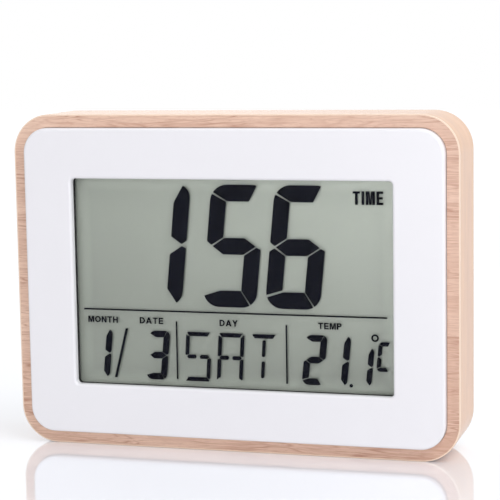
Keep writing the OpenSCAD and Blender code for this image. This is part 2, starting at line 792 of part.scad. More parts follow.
module resistors() {
    color([0.15, 0.15, 0.16]) for (i = [0:resistor_n - 1])
        translate([resistor_x, board_y1, resistor_z + resistor_pitch * i])
            cube(resistor_size);
}

// Bead on two legs that holds it up behind the vent slots
module temperature_sensor() {
    leg_y1 = board_y1 + sensor_leg_l;
    color([0.2, 0.16, 0.13]) {
        for (sx = [-1, 1])
            rod(sensor_x + sx * sensor_leg_x, sensor_z, board_y1, leg_y1, sensor_leg_r);
        translate([sensor_x, leg_y1 + sensor_bead_r / 2, sensor_z]) sphere(sensor_bead_r);
    }
}

module switch_bodies() {
    color([0.16, 0.16, 0.17]) difference() {
        slab(board_y1, switch_y1) for (x = button_x) translate([x, button_z])
            square(switch_w, center = true);
        for (x = button_x)
            rod(x, button_z, switch_y1 - plunger_in - button_travel - 2 * face_gap,
                switch_y1 + 1, plunger_r + plunger_gap);
    }
}

module switch_plunger(i) {
    color("gainsboro")
        rod(button_x[i], button_z, switch_y1 - plunger_in, plunger_y1, plunger_r);
}

module button(i) {
    x = button_x[i];
    color("gray") {
        rod(x, button_z, plunger_y1, collar_y1, stem_r);
        rod(x, button_z, collar_y1 - collar_t, collar_y1, collar_r);
        round_rod(x, button_z, collar_y1 - collar_t, cover_y1 + button_proud, button_r,
            button_edge_r);
    }
}

// The bay's walls and floor, with room for the hinge barrel along the lower wall
module bay_shell() {
    out_x = bay_in_w / 2 + bay_wall;
    out_z = bay_in_h / 2 + bay_wall;
    difference() {
        slab(bay_floor_y0, cover_y1 - door_t - face_gap)
            box_rect(-out_x, bay_z - out_z, out_x, bay_z + out_z);
        slab(bay_floor_y1, cover_y1 + 1) box_rect(-bay_in_w / 2, bay_z - bay_in_h / 2,
            bay_in_w / 2, bay_z + bay_in_h / 2);
    }
}

module rear_cover() {
    lug_x0 = door_w / 2 + door_gap;
    color("whitesmoke") difference() {
        union() {
            slab(cover_y0, cover_y1) difference() {
                round_rect(panel_w, panel_h, panel_r);
                box_rect(-lug_x0, door_z0 - door_gap, lug_x0, door_z1 + door_gap);
            }
            slab(cover_y0 - skirt_l, cover_y0 + eps) difference() {
                round_rect(skirt_w, skirt_h, skirt_r);
                round_rect(skirt_w - 2 * skirt_t, skirt_h - 2 * skirt_t, skirt_r - skirt_t);
            }
            for (p = post_at) rod(p[0], p[1], cover_y0 - tube_l, cover_y0 + eps, tube_r);
            for (x = button_x) rod(x, button_z, cover_y0 - guide_l, cover_y0 + eps,
                collar_r + button_gap + guide_t);
            bay_shell();
            // A shelf round the door's opening joins the bay to the cover
            slab(shelf_y0, cover_y0 + eps) difference() {
                box_rect(-lug_x0 - bay_wall, door_z0 - door_gap - bay_wall,
                    lug_x0 + bay_wall, door_z1 + door_gap + bay_wall);
                box_rect(-bay_in_w / 2, bay_z - bay_in_h / 2, bay_in_w / 2,
                    bay_z + bay_in_h / 2);
            }
            for (sx = [-1, 1]) translate([sx * (lug_x0 + lug_t / 2), hinge_y, hinge_z])
                rotate([0, 90, 0]) cylinder(h = lug_t, r = lug_r, center = true);
        }
        // Nothing of the lugs stands out of the cover's outer face
        slab(cover_y1, back_y + 1) box_rect(-lug_x0 - lug_t, door_z0 - barrel_r,
            lug_x0 + lug_t, door_z0 + 3 * barrel_r);
        // Room for the door's plate and its barrel
        slab(cover_y1 - door_t - face_gap, cover_y1 + 1)
            box_rect(-lug_x0, hinge_z, lug_x0, door_z1 + door_gap);
        slab(hinge_y - barrel_r - door_gap, cover_y1 + 1)
            box_rect(-lug_x0, door_z0 - door_gap, lug_x0, bay_z - bay_in_h / 2 + eps);
        translate([0, hinge_y, hinge_z]) rotate([0, 90, 0])
            cylinder(h = 2 * (lug_x0 + pin_l), r = pin_r + pin_gap, center = true);
        for (p = post_at) {
            rod(p[0], p[1], cover_y0 - tube_l - 1, cover_y1 + 1, screw_hole_r);
            rod(p[0], p[1], screw_y, cover_y1 + 1, screw_sink_r);
        }
        for (x = button_x) {
            rod(x, button_z, cover_y0 - 1, cover_y1 + 1, button_r + button_gap);
            rod(x, button_z, cover_y0 - guide_l - 1, cover_y0, collar_r + button_gap);
        }
        rod(0, key_z, cover_y0 - 1, cover_y1 + 1, key_hole_r);
        rod(0, key_z + key_drop, cover_y0 - 1, cover_y1 + 1, key_slot_w / 2);
        slab(cover_y0 - 1, cover_y1 + 1)
            box_rect(-key_slot_w / 2, key_z, key_slot_w / 2, key_z + key_drop);
        slab(cover_y0 - 1, cover_y1 + 1) for (i = [0:vent_n - 1])
            translate([sensor_x, sensor_z + (i - (vent_n - 1) / 2) * vent_pitch])
                square([vent_l, vent_h], center = true);
        // Finger scoop above the door
        slab(cover_y1 - scoop_t, cover_y1 + 1) box_rect(-latch_w / 2,
            door_z1, latch_w / 2, door_z1 + latch_h);
        // Slots for the two solder tabs
        for (z = cell_at) slab(bay_floor_y0 - 1, bay_floor_y1 + 1)
            box_rect(-contact_x - eps, z - tab_w / 2 - loose_gap,
                -contact_x + contact_t + loose_gap, z + tab_w / 2 + loose_gap);
    }
}

module cover_screws() {
    color("silver") for (p = post_at)
        pan_screw(p, screw_y, screw_r, screw_l, screw_head_r, screw_head_t);
}

module battery_door() {
    color("whitesmoke") {
        slab(cover_y1 - door_t, cover_y1) box_rect(-door_w / 2, hinge_z, door_w / 2, door_z1);
        translate([0, hinge_y, hinge_z]) rotate([0, 90, 0]) {
            cylinder(h = door_w, r = barrel_r, center = true);
            cylinder(h = door_w + 2 * (door_gap + pin_l - face_gap), r = pin_r, center = true);
        }
        // Latch tongue inside the upper wall of the bay
        slab(cover_y1 - door_t - latch_l, cover_y1 - door_t + eps) box_rect(-latch_w / 2,
            bay_z + bay_in_h / 2 - door_gap - latch_t, latch_w / 2,
            bay_z + bay_in_h / 2 - door_gap);
    }
}

// A cell along X, with its nub towards the side that dir names
module aa_cell(z, dir) {
    nub_x = dir * (contact_x - contact_t - touch_gap);
    color("goldenrod") translate([nub_x, cell_y, z]) rotate([0, -90 * dir, 0]) {
        cylinder(h = nub_l + eps, r = nub_r);
        translate([0, 0, nub_l]) cylinder(h = cell_l - nub_l, r = cell_r);
    }
}

module upper_cell() { aa_cell(cell_at[0], -1); }

module lower_cell() { aa_cell(cell_at[1], 1); }

// Contact plate against the left end wall with a tab through the floor of the bay
module end_contact(z) {
    translate([-contact_x, cell_y - contact_h / 2, z - contact_w / 2])
        cube([contact_t, contact_h, contact_w]);
    translate([-contact_x, tab_y0, z - tab_w / 2])
        cube([contact_t, cell_y - tab_y0, tab_w]);
}

module positive_contact() { color("silver") end_contact(cell_at[0]); }

module negative_contact() { color("silver") end_contact(cell_at[1]); }

module bridge_contact() {
    color("silver") translate([contact_x - contact_t, cell_y - contact_h / 2,
        bay_z - cell_pitch / 2 - contact_w / 2])
        cube([contact_t, contact_h, cell_pitch + contact_w]);
}

// Round wire swept along points: a ring of sides at each point, square to the path
module wire(path, r, sides = 6) {
    n = len(path);
    along = [for (i = [0:n - 1]) let (d = path[min(i + 1, n - 1)] - path[max(i - 1, 0)])
        d / norm(d)];
    rings = [for (i = [0:n - 1], k = [0:sides - 1])
        let (u = cross(along[i], [1, 0, 0]), side_u = u / norm(u),
            v = cross(along[i], side_u), a = 360 * k / sides)
        path[i] + r * (cos(a) * side_u + sin(a) * v)];
    skin = [for (i = [0:n - 2], k = [0:sides - 1], half = [0, 1])
        let (p = i * sides + k, q = i * sides + (k + 1) % sides)
        half == 0 ? [p, p + sides, q + sides] : [p, q + sides, q]];
    first = [for (k = [1:sides - 2]) [0, k, k + 1]];
    last = [for (k = [1:sides - 2]) (n - 1) * sides * [1, 1, 1] + [0, k + 1, k]];
    polyhedron(points = rings, faces = concat(skin, first, last), convexity = 4);
}

// Cone spring from a contact plate to the flat end of a cell
function spring_path(z, dir) =
    let (n = spring_turns * spring_steps,
        x0 = contact_x - contact_t - spring_wire_r - spring_end,
        run = spring_l - 2 * spring_wire_r - 2 * spring_end)
    [for (i = [0:n]) let (a = 360 * i / spring_steps,
        r = spring_wide_r + (spring_narrow_r - spring_wide_r) * i / n)
        [dir * (x0 - run * i / n), cell_y + r * cos(a), z + r * sin(a)]];

module contact_springs() {
    color("silver") {
        wire(spring_path(cell_at[0], 1), spring_wire_r);
        wire(spring_path(cell_at[1], -1), spring_wire_r);
    }
}

// Path with its corners rounded: each corner becomes a curve that starts and ends r from it
function rounded(path, r, n = 4) =
    let (last = len(path) - 1)
    [path[0], for (i = [1:last - 1]) let (c = path[i], d0 = path[i - 1] - c,
        d1 = path[i + 1] - c, p0 = c + r * d0 / norm(d0), p1 = c + r * d1 / norm(d1))
        for (k = [0:n]) let (t = k / n)
            (1 - t) * (1 - t) * p0 + 2 * t * (1 - t) * c + t * t * p1,
        path[last]];

// Lead from a solder tab up to the board
module lead(z, x1) {
    x0 = -contact_x + contact_t / 2;
    wire(rounded([[x0, tab_y0, z], [x0, lead_y, z], [x1, lead_y, z + lead_rise],
        [x1, lead_y, lead_z1], [x1, board_y1, lead_z1]], lead_bend), lead_r, 8);
}

module red_lead() { color("red") lead(cell_at[0], red_x); }

module black_lead() { color("black") lead(cell_at[1], black_x); }

wood_ring();
front_veneer();
edge_veneer();
front_panel();
window_lens();
window_gasket();
front_polarizer();
front_glass();
glass_seal();
display_segments();
rear_glass();
rear_reflector();
contact_strip();
display_holder();
holder_screws();
circuit_board();
board_screws();
chip_cap();
quartz_crystal();
capacitors();
resistors();
temperature_sensor();
switch_bodies();
switch_plunger(0);  // switch_plunger_1
switch_plunger(1);  // switch_plunger_2
switch_plunger(2);  // switch_plunger_3
switch_plunger(3);  // switch_plunger_4
button(0);  // button_1
button(1);  // button_2
button(2);  // button_3
button(3);  // button_4
rear_cover();
cover_screws();
battery_door();
upper_cell();
lower_cell();
positive_contact();
negative_contact();
bridge_contact();
contact_springs();
red_lead();
black_lead();
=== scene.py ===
"""Finishes, lettering and studio for the digital clock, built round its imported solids."""

import math

import bpy
from mathutils import Matrix, Vector


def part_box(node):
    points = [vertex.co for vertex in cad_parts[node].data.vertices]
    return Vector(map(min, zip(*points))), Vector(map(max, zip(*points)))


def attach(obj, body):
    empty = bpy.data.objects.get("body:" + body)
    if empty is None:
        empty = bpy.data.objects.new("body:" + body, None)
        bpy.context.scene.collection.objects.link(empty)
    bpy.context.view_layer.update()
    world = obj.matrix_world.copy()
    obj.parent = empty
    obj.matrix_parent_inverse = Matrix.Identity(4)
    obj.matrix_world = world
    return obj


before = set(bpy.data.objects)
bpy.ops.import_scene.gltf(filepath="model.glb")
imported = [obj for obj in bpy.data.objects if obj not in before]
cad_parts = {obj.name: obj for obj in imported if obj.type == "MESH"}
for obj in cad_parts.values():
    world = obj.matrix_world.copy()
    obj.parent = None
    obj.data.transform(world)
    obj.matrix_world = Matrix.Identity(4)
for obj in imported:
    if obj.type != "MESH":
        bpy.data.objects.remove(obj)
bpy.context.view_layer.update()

bl_info = {
    "name": "Digital Clock",
    "version": (1, 0, 0),
    "blender": (4, 5, 0),
    "location": "3D View > Sidebar > Clock",
    "description": "Finishes, lettering and studio for a digital clock in a veneered wooden ring",
    "category": "Object",
}

MM = 0.001


def linear(red, green, blue):
    """A screen colour, 0 to 255, as linear light."""
    return tuple(
        c / 12.92 if c <= 0.04045 else ((c + 0.055) / 1.055) ** 2.4
        for c in (red / 255, green / 255, blue / 255)
    )


def with_alpha(colour):
    return (*colour, 1.0)


class ClockSizes(bpy.types.PropertyGroup):
    """Sizes of what is printed or moulded on the clock"""

    caption_height: bpy.props.FloatProperty(
        name="Caption height",
        description="Capital height of the captions over the small digits",
        default=2.85 * MM,
        min=1.5 * MM,
        max=4 * MM,
        unit="LENGTH",
    )
    time_height: bpy.props.FloatProperty(
        name="Time caption height",
        description="Capital height of the caption beside the large digits",
        default=5.9 * MM,
        min=3 * MM,
        max=8 * MM,
        unit="LENGTH",
    )
    legend_height: bpy.props.FloatProperty(
        name="Legend height",
        description="Capital height of the legends under the rear buttons",
        default=2.6 * MM,
        min=1.5 * MM,
        max=4 * MM,
        unit="LENGTH",
    )
    relief: bpy.props.FloatProperty(
        name="Moulded relief",
        description="How far moulded marks stand out of the plastic",
        default=0.25 * MM,
        min=0.1 * MM,
        max=0.5 * MM,
        unit="LENGTH",
    )
    grip_ribs: bpy.props.IntProperty(
        name="Grip ribs",
        description="Number of grip ribs on the battery door",
        default=5,
        min=2,
        max=8,
    )


class ClockColours(bpy.types.PropertyGroup):
    """Colours of the clock's surfaces"""

    veneer_pale: bpy.props.FloatVectorProperty(
        name="Veneer, pale",
        description="Pale early wood of the veneer",
        subtype="COLOR",
        default=linear(240, 208, 188),
        min=0,
        max=1,
    )
    veneer_brown: bpy.props.FloatVectorProperty(
        name="Veneer, brown",
        description="Darker late wood of the veneer",
        subtype="COLOR",
        default=linear(206, 164, 142),
        min=0,
        max=1,
    )
    veneer_line: bpy.props.FloatVectorProperty(
        name="Veneer, lines",
        description="Thin dark lines of the veneer",
        subtype="COLOR",
        default=linear(176, 126, 104),
        min=0,
        max=1,
    )
    edge_pale: bpy.props.FloatVectorProperty(
        name="Edge veneer, pale",
        description="Pale wood of the veneer round the edge",
        subtype="COLOR",
        default=linear(241, 193, 150),
        min=0,
        max=1,
    )
    panel_white: bpy.props.FloatVectorProperty(
        name="Front panel",
        description="White plastic of the front panel",
        subtype="COLOR",
        default=linear(238, 237, 243),
        min=0,
        max=1,
    )
    cover_white: bpy.props.FloatVectorProperty(
        name="Rear cover",
        description="White plastic of the rear cover and the battery door",
        subtype="COLOR",
        default=linear(232, 232, 234),
        min=0,
        max=1,
    )
    display_grey: bpy.props.FloatVectorProperty(
        name="Display ground",
        description="Reflector seen behind the segments",
        subtype="COLOR",
        default=linear(157, 163, 154),
        min=0,
        max=1,
    )
    segment_dark: bpy.props.FloatVectorProperty(
        name="Segments",
        description="Dark segments and captions",
        subtype="COLOR",
        default=linear(16, 17, 27),
        min=0,
        max=1,
    )
    button_grey: bpy.props.FloatVectorProperty(
        name="Buttons",
        description="Plastic of the rear buttons",
        subtype="COLOR",
        default=linear(172, 174, 178),
        min=0,
        max=1,
    )


class StudioSettings(bpy.types.PropertyGroup):
    """Light of the studio"""

    sky_level: bpy.props.FloatProperty(
        name="Sky level",
        description="Level of the even light from all round",
        default=0.45,
        min=0,
        max=1.5,
    )
    key_level: bpy.props.FloatProperty(
        name="Key level",
        description="Power of the large lamp above and to the right",
        default=16.0,
        min=0,
        max=60,
        unit="POWER",
    )
    front_level: bpy.props.FloatProperty(
        name="Front level",
        description="Power of the large lamp in front",
        default=6.3,
        min=0,
        max=60,
        unit="POWER",
    )
    rear_level: bpy.props.FloatProperty(
        name="Rear level",
        description="Power of the large lamp behind",
        default=4.5,
        min=0,
        max=60,
        unit="POWER",
    )


# Layout of a node tree: nodes in a row, and the steps between them
NODES_IN_ROW = 8
NODE_STEP_ACROSS = 220
NODE_STEP_DOWN = 260


class Graph:
    """Adds nodes to one node tree and joins them."""

    def __init__(self, tree):
        self.tree = tree
        self.count = 0

    def add(self, kind, sockets=None, **settings):
        node = self.tree.nodes.new(kind)
        row, column = divmod(self.count, NODES_IN_ROW)
        node.location = (NODE_STEP_ACROSS * column, -NODE_STEP_DOWN * row)
        self.count += 1
        for name, value in settings.items():
            setattr(node, name, value)
        self.fill(node, sockets or {})
        return node

    def fill(self, node, sockets):
        """Feeds a node's sockets by name or number."""
        for name, value in sockets.items():
            self.feed(node.inputs[name], value)

    def feed(self, socket, value):
        if isinstance(value, bpy.types.NodeSocket):
            self.tree.links.new(value, socket)
        elif isinstance(value, bpy.types.Node):
            self.tree.links.new(value.outputs[0], socket)
        else:
            socket.default_value = value

    def math(self, operation, *values, clamp=False):
        node = self.add("ShaderNodeMath", operation=operation, use_clamp=clamp)
        for socket, value in zip(node.inputs, values):
            self.feed(socket, value)
        return node.outputs[0]

    def total(self, first, *others):
        """The sum of several values."""
        for other in others:
            first = self.math("ADD", first, other)
        return first

    def mix(self, factor, first, second, blend="MIX"):
        node = self.add("ShaderNodeMix", data_type="RGBA", blend_type=blend)
        self.feed(node.inputs["Factor"], factor)
        self.feed(node.inputs["A"], first)
        self.feed(node.inputs["B"], second)
        return node.outputs["Result"]

    def spread(self, value, low, high, to_low=0.0, to_high=1.0):
        """value's range low to high, spread over to_low to to_high."""
        node = self.add("ShaderNodeMapRange", clamp=True)
        for socket, v in zip(node.inputs, (value, low, high, to_low, to_high)):
            self.feed(socket, v)
        return node.outputs[0]

    def between(self, value, low, high, first, second):
        """From one colour to another while value goes from low to high."""
        return self.mix(self.spread(value, low, high), with_alpha(first), with_alpha(second))

    def noise(self, vector, scale, detail=3.0, roughness=0.5, distortion=0.0):
        names = ("Vector", "Scale", "Detail", "Roughness", "Distortion")
        values = (vector, scale, detail, roughness, distortion)
        return self.add("ShaderNodeTexNoise", dict(zip(names, values))).outputs[0]

    def place(self):
        """Object coordinates, which stay with the surface."""
        return self.add("ShaderNodeTexCoord").outputs["Object"]

    def parts(self, vector):
        """The X, Y and Z of a vector."""
        return self.add("ShaderNodeSeparateXYZ", {0: vector}).outputs

    def looked_at(self):
        """1 for what the camera sees, also mirrored or through glass, and otherwise 0."""
        path = self.add("ShaderNodeLightPath").outputs
        seen = self.math("MAXIMUM", path["Is Camera Ray"], path["Is Glossy Ray"])
        return self.math("MAXIMUM", seen, path["Is Transmission Ray"])

    def show(self, shader):
        """Makes this shader the one that the material shows."""
        out = next(node for node in self.tree.nodes if node.type == "OUTPUT_MATERIAL")
        self.tree.links.new(shader.outputs[0], out.inputs["Surface"])


def socket_kind(label, default=0.0):
    """A group's sockets are numbers, but for a vector and for colours."""
    if label == "Vector":
        return "NodeSocketVector"
    colour = label == "Color" or isinstance(default, tuple)
    return "NodeSocketColor" if colour else "NodeSocketFloat"


def new_group(name, inputs, outputs):
    """An empty shader node group: (group, graph, its inputs, a function that feeds an output)."""
    group = bpy.data.node_groups.new(name, "ShaderNodeTree")
    for label, default in inputs.items():
        kind = socket_kind(label, default)
        socket = group.interface.new_socket(label, in_out="INPUT", socket_type=kind)
        if default is not None:
            socket.default_value = default
    for label in outputs:
        group.interface.new_socket(label, in_out="OUTPUT", socket_type=socket_kind(label))
    graph = Graph(group)
    entry = graph.add("NodeGroupInput")
    leave = graph.add("NodeGroupOutput")

    def put(label, value):
        graph.feed(leave.inputs[label], value)

    return group, graph, entry.outputs, put


def grain_group():
    """Wood grain along X of its vector: thin wavy lines, soft bands and short dark pores."""
    if "Veneer Grain" in bpy.data.node_groups:
        return bpy.data.node_groups["Veneer Grain"]
    group, g, given, put = new_group(
        "Veneer Grain",
        {
            "Vector": None,
            "Pale": (0.8, 0.6, 0.45, 1),
            "Brown": (0.6, 0.4, 0.3, 1),
            "Line": (0.5, 0.3, 0.2, 1),
            "Band Strength": 1.0,
            "Line Strength": 1.0,
            "Seed": 0.0,
        },
        ("Color", "Varnish", "Height"),
    )
    seed, strength = given["Seed"], given["Line Strength"]
    shift = g.add("ShaderNodeCombineXYZ", {"X": seed, "Y": seed, "Z": seed})
    place = g.add("ShaderNodeVectorMath", {0: given["Vector"], 1: shift}, operation="ADD")

    def stretched(along, across, **noise):
        """Noise with that many cells to the metre along the grain and across it."""
        node = g.add("ShaderNodeMapping", {"Vector": place, "Scale": (along, across, across)})
        return g.noise(node.outputs[0], 1.0, **noise)

    def contour(value, level, width):
        """A thin line where value passes that level."""
        away = g.math("ABSOLUTE", g.math("SUBTRACT", value, level))
        return g.spread(away, 0.0, width, 1.0, 0.0)

    def weighed(value, weight):
        return g.math("MULTIPLY", value, weight)

    bands = stretched(10.0, 120.0, detail=3.0, distortion=0.5)
    blotch = stretched(20.0, 40.0, detail=2.0)
    fibres = stretched(90.0, 3000.0, detail=2.0, roughness=0.6)
    pores = stretched(300.0, 4200.0, detail=1.0)
    rings = stretched(26.0, 330.0, detail=1.5, roughness=0.45, distortion=0.35)
    fine = stretched(38.0, 620.0, detail=1.0, distortion=0.3)
    fade = g.spread(stretched(45.0, 160.0, detail=2.0), 0.35, 0.62, 0.25, 1.0)

    tone = g.total(
        weighed(g.spread(bands, 0.32, 0.68), 0.42),
        weighed(g.spread(blotch, 0.35, 0.65), 0.26),
        weighed(g.spread(fibres, 0.3, 0.7), 0.32),
    )
    tone = weighed(g.math("SUBTRACT", tone, 0.5), given["Band Strength"])
    tone = g.math("ADD", tone, 0.62, clamp=True)
    wood = g.mix(tone, given["Brown"], given["Pale"])

    lines = g.math("MAXIMUM", contour(rings, 0.44, 0.038), contour(rings, 0.56, 0.032))
    lines = g.math("MAXIMUM", lines, weighed(contour(fine, 0.5, 0.06), 0.7))
    lines = weighed(weighed(lines, fade), strength)
    pits = weighed(weighed(g.spread(pores, 0.60, 0.68), 0.5), strength)
    marks = g.math("MAXIMUM", lines, pits, clamp=True)
    put("Color", g.mix(marks, wood, given["Line"]))
    put("Varnish", g.math("ADD", weighed(fibres, 0.10), weighed(marks, 0.08)))
    put("Height", g.math("SUBTRACT", weighed(fibres, 0.4), marks))
    return group


def perimeter_group():
    """Turns a point on the ring's outer strip into distance along the strip and across it."""
    if "Ring Perimeter" in bpy.data.node_groups:
        return bpy.data.node_groups["Ring Perimeter"]
    group, g, given, put = new_group(
        "Ring Perimeter",
        {
            "Vector": None,
            "Half Width": 0.1,
            "Half Height": 0.08,
            "Radius": 0.017,
            "Middle": 0.076,
        },
        ("Vector",),
    )
    x, y, z = g.parts(given["Vector"])
    z = g.math("SUBTRACT", z, given["Middle"])
    side = g.math("SIGN", x)
    across = g.math("ABSOLUTE", x)
    flat_x = g.math("SUBTRACT", given["Half Width"], given["Radius"])
    flat_z = g.math("SUBTRACT", given["Half Height"], given["Radius"])
    near_x = g.math("MINIMUM", across, flat_x)
    low_z = g.math("MULTIPLY", flat_z, -1.0)
    near_z = g.math("MAXIMUM", g.math("MINIMUM", z, flat_z), low_z)
    turn = g.math("ARCTAN2", g.math("SUBTRACT", across, near_x), g.math("SUBTRACT", z, near_z))
    run = g.math("MULTIPLY", turn, given["Radius"])
    run = g.total(run, g.math("SUBTRACT", flat_z, near_z), near_x)
    run = g.math("MULTIPLY", run, side)
    put("Vector", g.add("ShaderNodeCombineXYZ", {"X": run, "Y": y, "Z": 0.0}))
    return group


def moulding_group():
    """Moulded plastic or paint: a fine texture, slow changes of tone and faint flow marks."""
    if "Moulded Surface" in bpy.data.node_groups:
        return bpy.data.node_groups["Moulded Surface"]
    group, g, given, put = new_group(
        "Moulded Surface",
        {
            "Vector": None,
            "Color": (0.8, 0.8, 0.8, 1),
            "Grain Size": 0.0004,
            "Tone": 0.03,
            "Roughness": 0.4,
            "Roughness Spread": 0.08,
        },
        ("Color", "Roughness", "Height"),
    )
    grain_scale = g.math("DIVIDE", 1.0, given["Grain Size"])
    grain = g.noise(given["Vector"], grain_scale, detail=3.0, roughness=0.6)
    slow = g.noise(given["Vector"], 32.0, detail=3.0)
    smudge = g.noise(given["Vector"], 140.0, detail=4.0, roughness=0.6, distortion=0.4)

    def swing(value, amount):
        """value round zero, as strong as amount."""
        return g.math("MULTIPLY", g.math("SUBTRACT", value, 0.5), amount)

    level = g.total(swing(slow, given["Tone"]), swing(grain, given["Tone"]), 1.0)
    tint = g.add("ShaderNodeCombineColor", {0: level, 1: level, 2: level})
    put("Color", g.mix(1.0, given["Color"], tint.outputs[0], "MULTIPLY"))
    wear = g.math("MULTIPLY", swing(smudge, given["Roughness Spread"]), 2.0)
    put("Roughness", g.math("ADD", given["Roughness"], wear, clamp=True))
    put("Height", grain)
    return group


def start_material(name, sockets=None):
    """A new material with one Principled shader: (material, graph, shader)."""
    material = bpy.data.materials.new(name)
    material.use_nodes = True
    material.node_tree.nodes.clear()
    graph = Graph(material.node_tree)
    graph.add("ShaderNodeOutputMaterial")
    shader = graph.add("ShaderNodeBsdfPrincipled")
    graph.show(shader)
    graph.fill(shader, sockets or {})
    return material, graph, shader


def use_group(graph, group, sockets):
    node = graph.add("ShaderNodeGroup")
    node.node_tree = group
    graph.fill(node, sockets)
    return node


def bump(graph, height, depth, strength=1.0):
    sockets = {"Strength": strength, "Distance": depth, "Height": height}
    return graph.add("ShaderNodeBump", sockets).outputs[0]


def moulded(name, colour, grain, roughness, depth, tone=0.03, spread=0.05, sockets=None):
    """A material of moulded plastic, rubber, paint or plating, its grain and depth in mm."""
    material, g, shader = start_material(name, sockets)
    surface = use_group(
        g,
        moulding_group(),
        {
            "Vector": g.place(),
            "Color": with_alpha(colour),
            "Grain Size": grain * MM,
            "Tone": tone,
            "Roughness": roughness,
            "Roughness Spread": spread,
        },
    )
    colour, rough, height = surface.outputs
    normal = bump(g, height, depth * MM)
    g.fill(shader, {"Base Color": colour, "Roughness": rough, "Normal": normal})
    return material


def clear_film(name, colour, roughness, share):
    """A thin clear sheet inside the display, nearly all of it see-through."""
    sockets = {"Base Color": with_alpha(colour), "Roughness": roughness, "Alpha": share}
    return start_material(name, sockets)[0]


def clear_sheet(name, colour, index, roughness):
    """A clear outer sheet that mirrors a little and lets the lamps reach what is behind it."""
    sockets = {"Base Color": with_alpha(colour), "Roughness": roughness, "IOR": index}
    material, g, shader = start_material(name, {**sockets, "Transmission Weight": 1.0})
    path = g.add("ShaderNodeLightPath").outputs
    passing = g.math("MAXIMUM", path["Is Shadow Ray"], path["Is Diffuse Ray"])
    opening = g.add("ShaderNodeBsdfTransparent")
    g.show(g.add("ShaderNodeMixShader", {0: passing, 1: shader, 2: opening}))
    return material


# The four buttons, their switch plungers, legends and beads are numbered alike
BUTTONS = range(1, 5)


def numbered(name):
    return [f"{name}_{i}" for i in BUTTONS]


def dress(material, *nodes):
    """Gives CAD nodes their finish."""
    for node in nodes:
        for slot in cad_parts[node].material_slots:
            slot.material = material


# Plain finishes: screen colour, grain in mm, roughness, depth of the relief in mm, tone,
# spread of roughness, share of metal, and the nodes that wear it
FINISHES = {
    "Black Foam": ((24, 24, 25), 0.25, 0.9, 0.05, 0.3, 0.05, 0.0, "window_gasket"),
    "Seal Epoxy": ((120, 120, 122), 0.5, 0.5, 0.004, 0.03, 0.05, 0.0, "glass_seal"),
    "Contact Rubber": ((196, 150, 156), 0.2, 0.75, 0.01, 0.2, 0.05, 0.0, "contact_strip"),
    "Black Holder": ((34, 34, 36), 0.35, 0.5, 0.01, 0.1, 0.05, 0.0, "display_holder"),
    "Chip Epoxy": ((22, 22, 23), 1.5, 0.22, 0.02, 0.1, 0.05, 0.0, "chip_cap"),
    "Tinned Can": ((205, 205, 200), 0.4, 0.22, 0.004, 0.06, 0.03, 1.0, "quartz_crystal"),
    "Sensor Epoxy": ((44, 38, 34), 0.4, 0.35, 0.01, 0.2, 0.05, 0.0, "temperature_sensor"),
    "Switch Black": ((44, 44, 46), 0.3, 0.5, 0.008, 0.1, 0.05, 0.0, "switch_bodies"),
    "Switch Plunger": (
        (190, 190, 186), 0.3, 0.45, 0.006, 0.03, 0.05, 0.0, *numbered("switch_plunger")
    ),
    "Zinc Plating": (
        (206, 206, 200), 0.25, 0.22, 0.006, 0.08, 0.04, 1.0,
        "holder_screws", "board_screws", "cover_screws",
    ),
    "Red Insulation": ((178, 30, 28), 0.8, 0.42, 0.01, 0.03, 0.05, 0.0, "red_lead"),
    "Black Insulation": ((30, 30, 31), 0.8, 0.42, 0.01, 0.03, 0.05, 0.0, "black_lead"),
    "Nickel Plating": (
        (214, 210, 198), 0.3, 0.2, 0.005, 0.06, 0.04, 1.0,
        "positive_contact", "negative_contact", "bridge_contact", "contact_springs",
    ),
}


def plain_finish(name):
    """Makes one of the plain finishes and gives it to its nodes."""
    colour, grain, roughness, depth, tone, spread, metal, *nodes = FINISHES[name]
    sockets = {"Metallic": metal}
    material = moulded(name, linear(*colour), grain, roughness, depth, tone, spread, sockets)
    dress(material, *nodes)


def nothing_selected():
    if bpy.context.object is not None and bpy.context.object.mode != "OBJECT":
        bpy.ops.object.mode_set(mode="OBJECT")
    bpy.ops.object.select_all(action="DESELECT")


def select_only(piece):
    nothing_selected()
    piece.select_set(True)
    bpy.context.view_layer.objects.active = piece


def place_in_mesh(piece):
    """Moves the object's place, turn and scale into its mesh."""
    select_only(piece)
    bpy.ops.object.transform_apply(location=True, rotation=True, scale=True)


def copied(piece, shift):
    """A copy of a piece with a mesh of its own, moved by shift."""
    copy = piece.copy()
    copy.data = piece.data.copy()
    copy.data.transform(Matrix.Translation(shift))
    bpy.context.scene.collection.objects.link(copy)
    return copy


def made_mesh(piece, name, merge):
    """Turns text or a flat curve into a closed mesh, its points merged within merge."""
    select_only(piece)
    bpy.ops.object.convert(target="MESH")
    piece = bpy.context.object
    piece.name = name
    bpy.ops.object.mode_set(mode="EDIT")
    bpy.ops.mesh.select_all(action="SELECT")
    bpy.ops.mesh.remove_doubles(threshold=merge)
    bpy.ops.mesh.normals_make_consistent(inside=False)
    bpy.ops.object.mode_set(mode="OBJECT")
    return piece


def lettering(name, words, height, thickness, weight=0.0, width=None):
    """Words as a closed mesh in the XY plane, from their lower left, with capitals that high."""
    nothing_selected()
    bpy.ops.object.text_add(location=(0, 0, 0))
    text = bpy.context.object.data
    text.body = words
    text.size = 1.0
    text.offset = weight
    text.extrude = 0.05
    text.resolution_u = 4
    piece = made_mesh(bpy.context.object, name, 1e-5)
    low = Vector([min(v.co[i] for v in piece.data.vertices) for i in range(3)])
    high = Vector([max(v.co[i] for v in piece.data.vertices) for i in range(3)])
    size = high - low
    tall = height / size.y
    wide = tall if width is None else width / size.x
    piece.data.transform(Matrix.Translation(-low))
    piece.scale = (wide, tall, thickness / size.z)
    place_in_mesh(piece)
    return piece


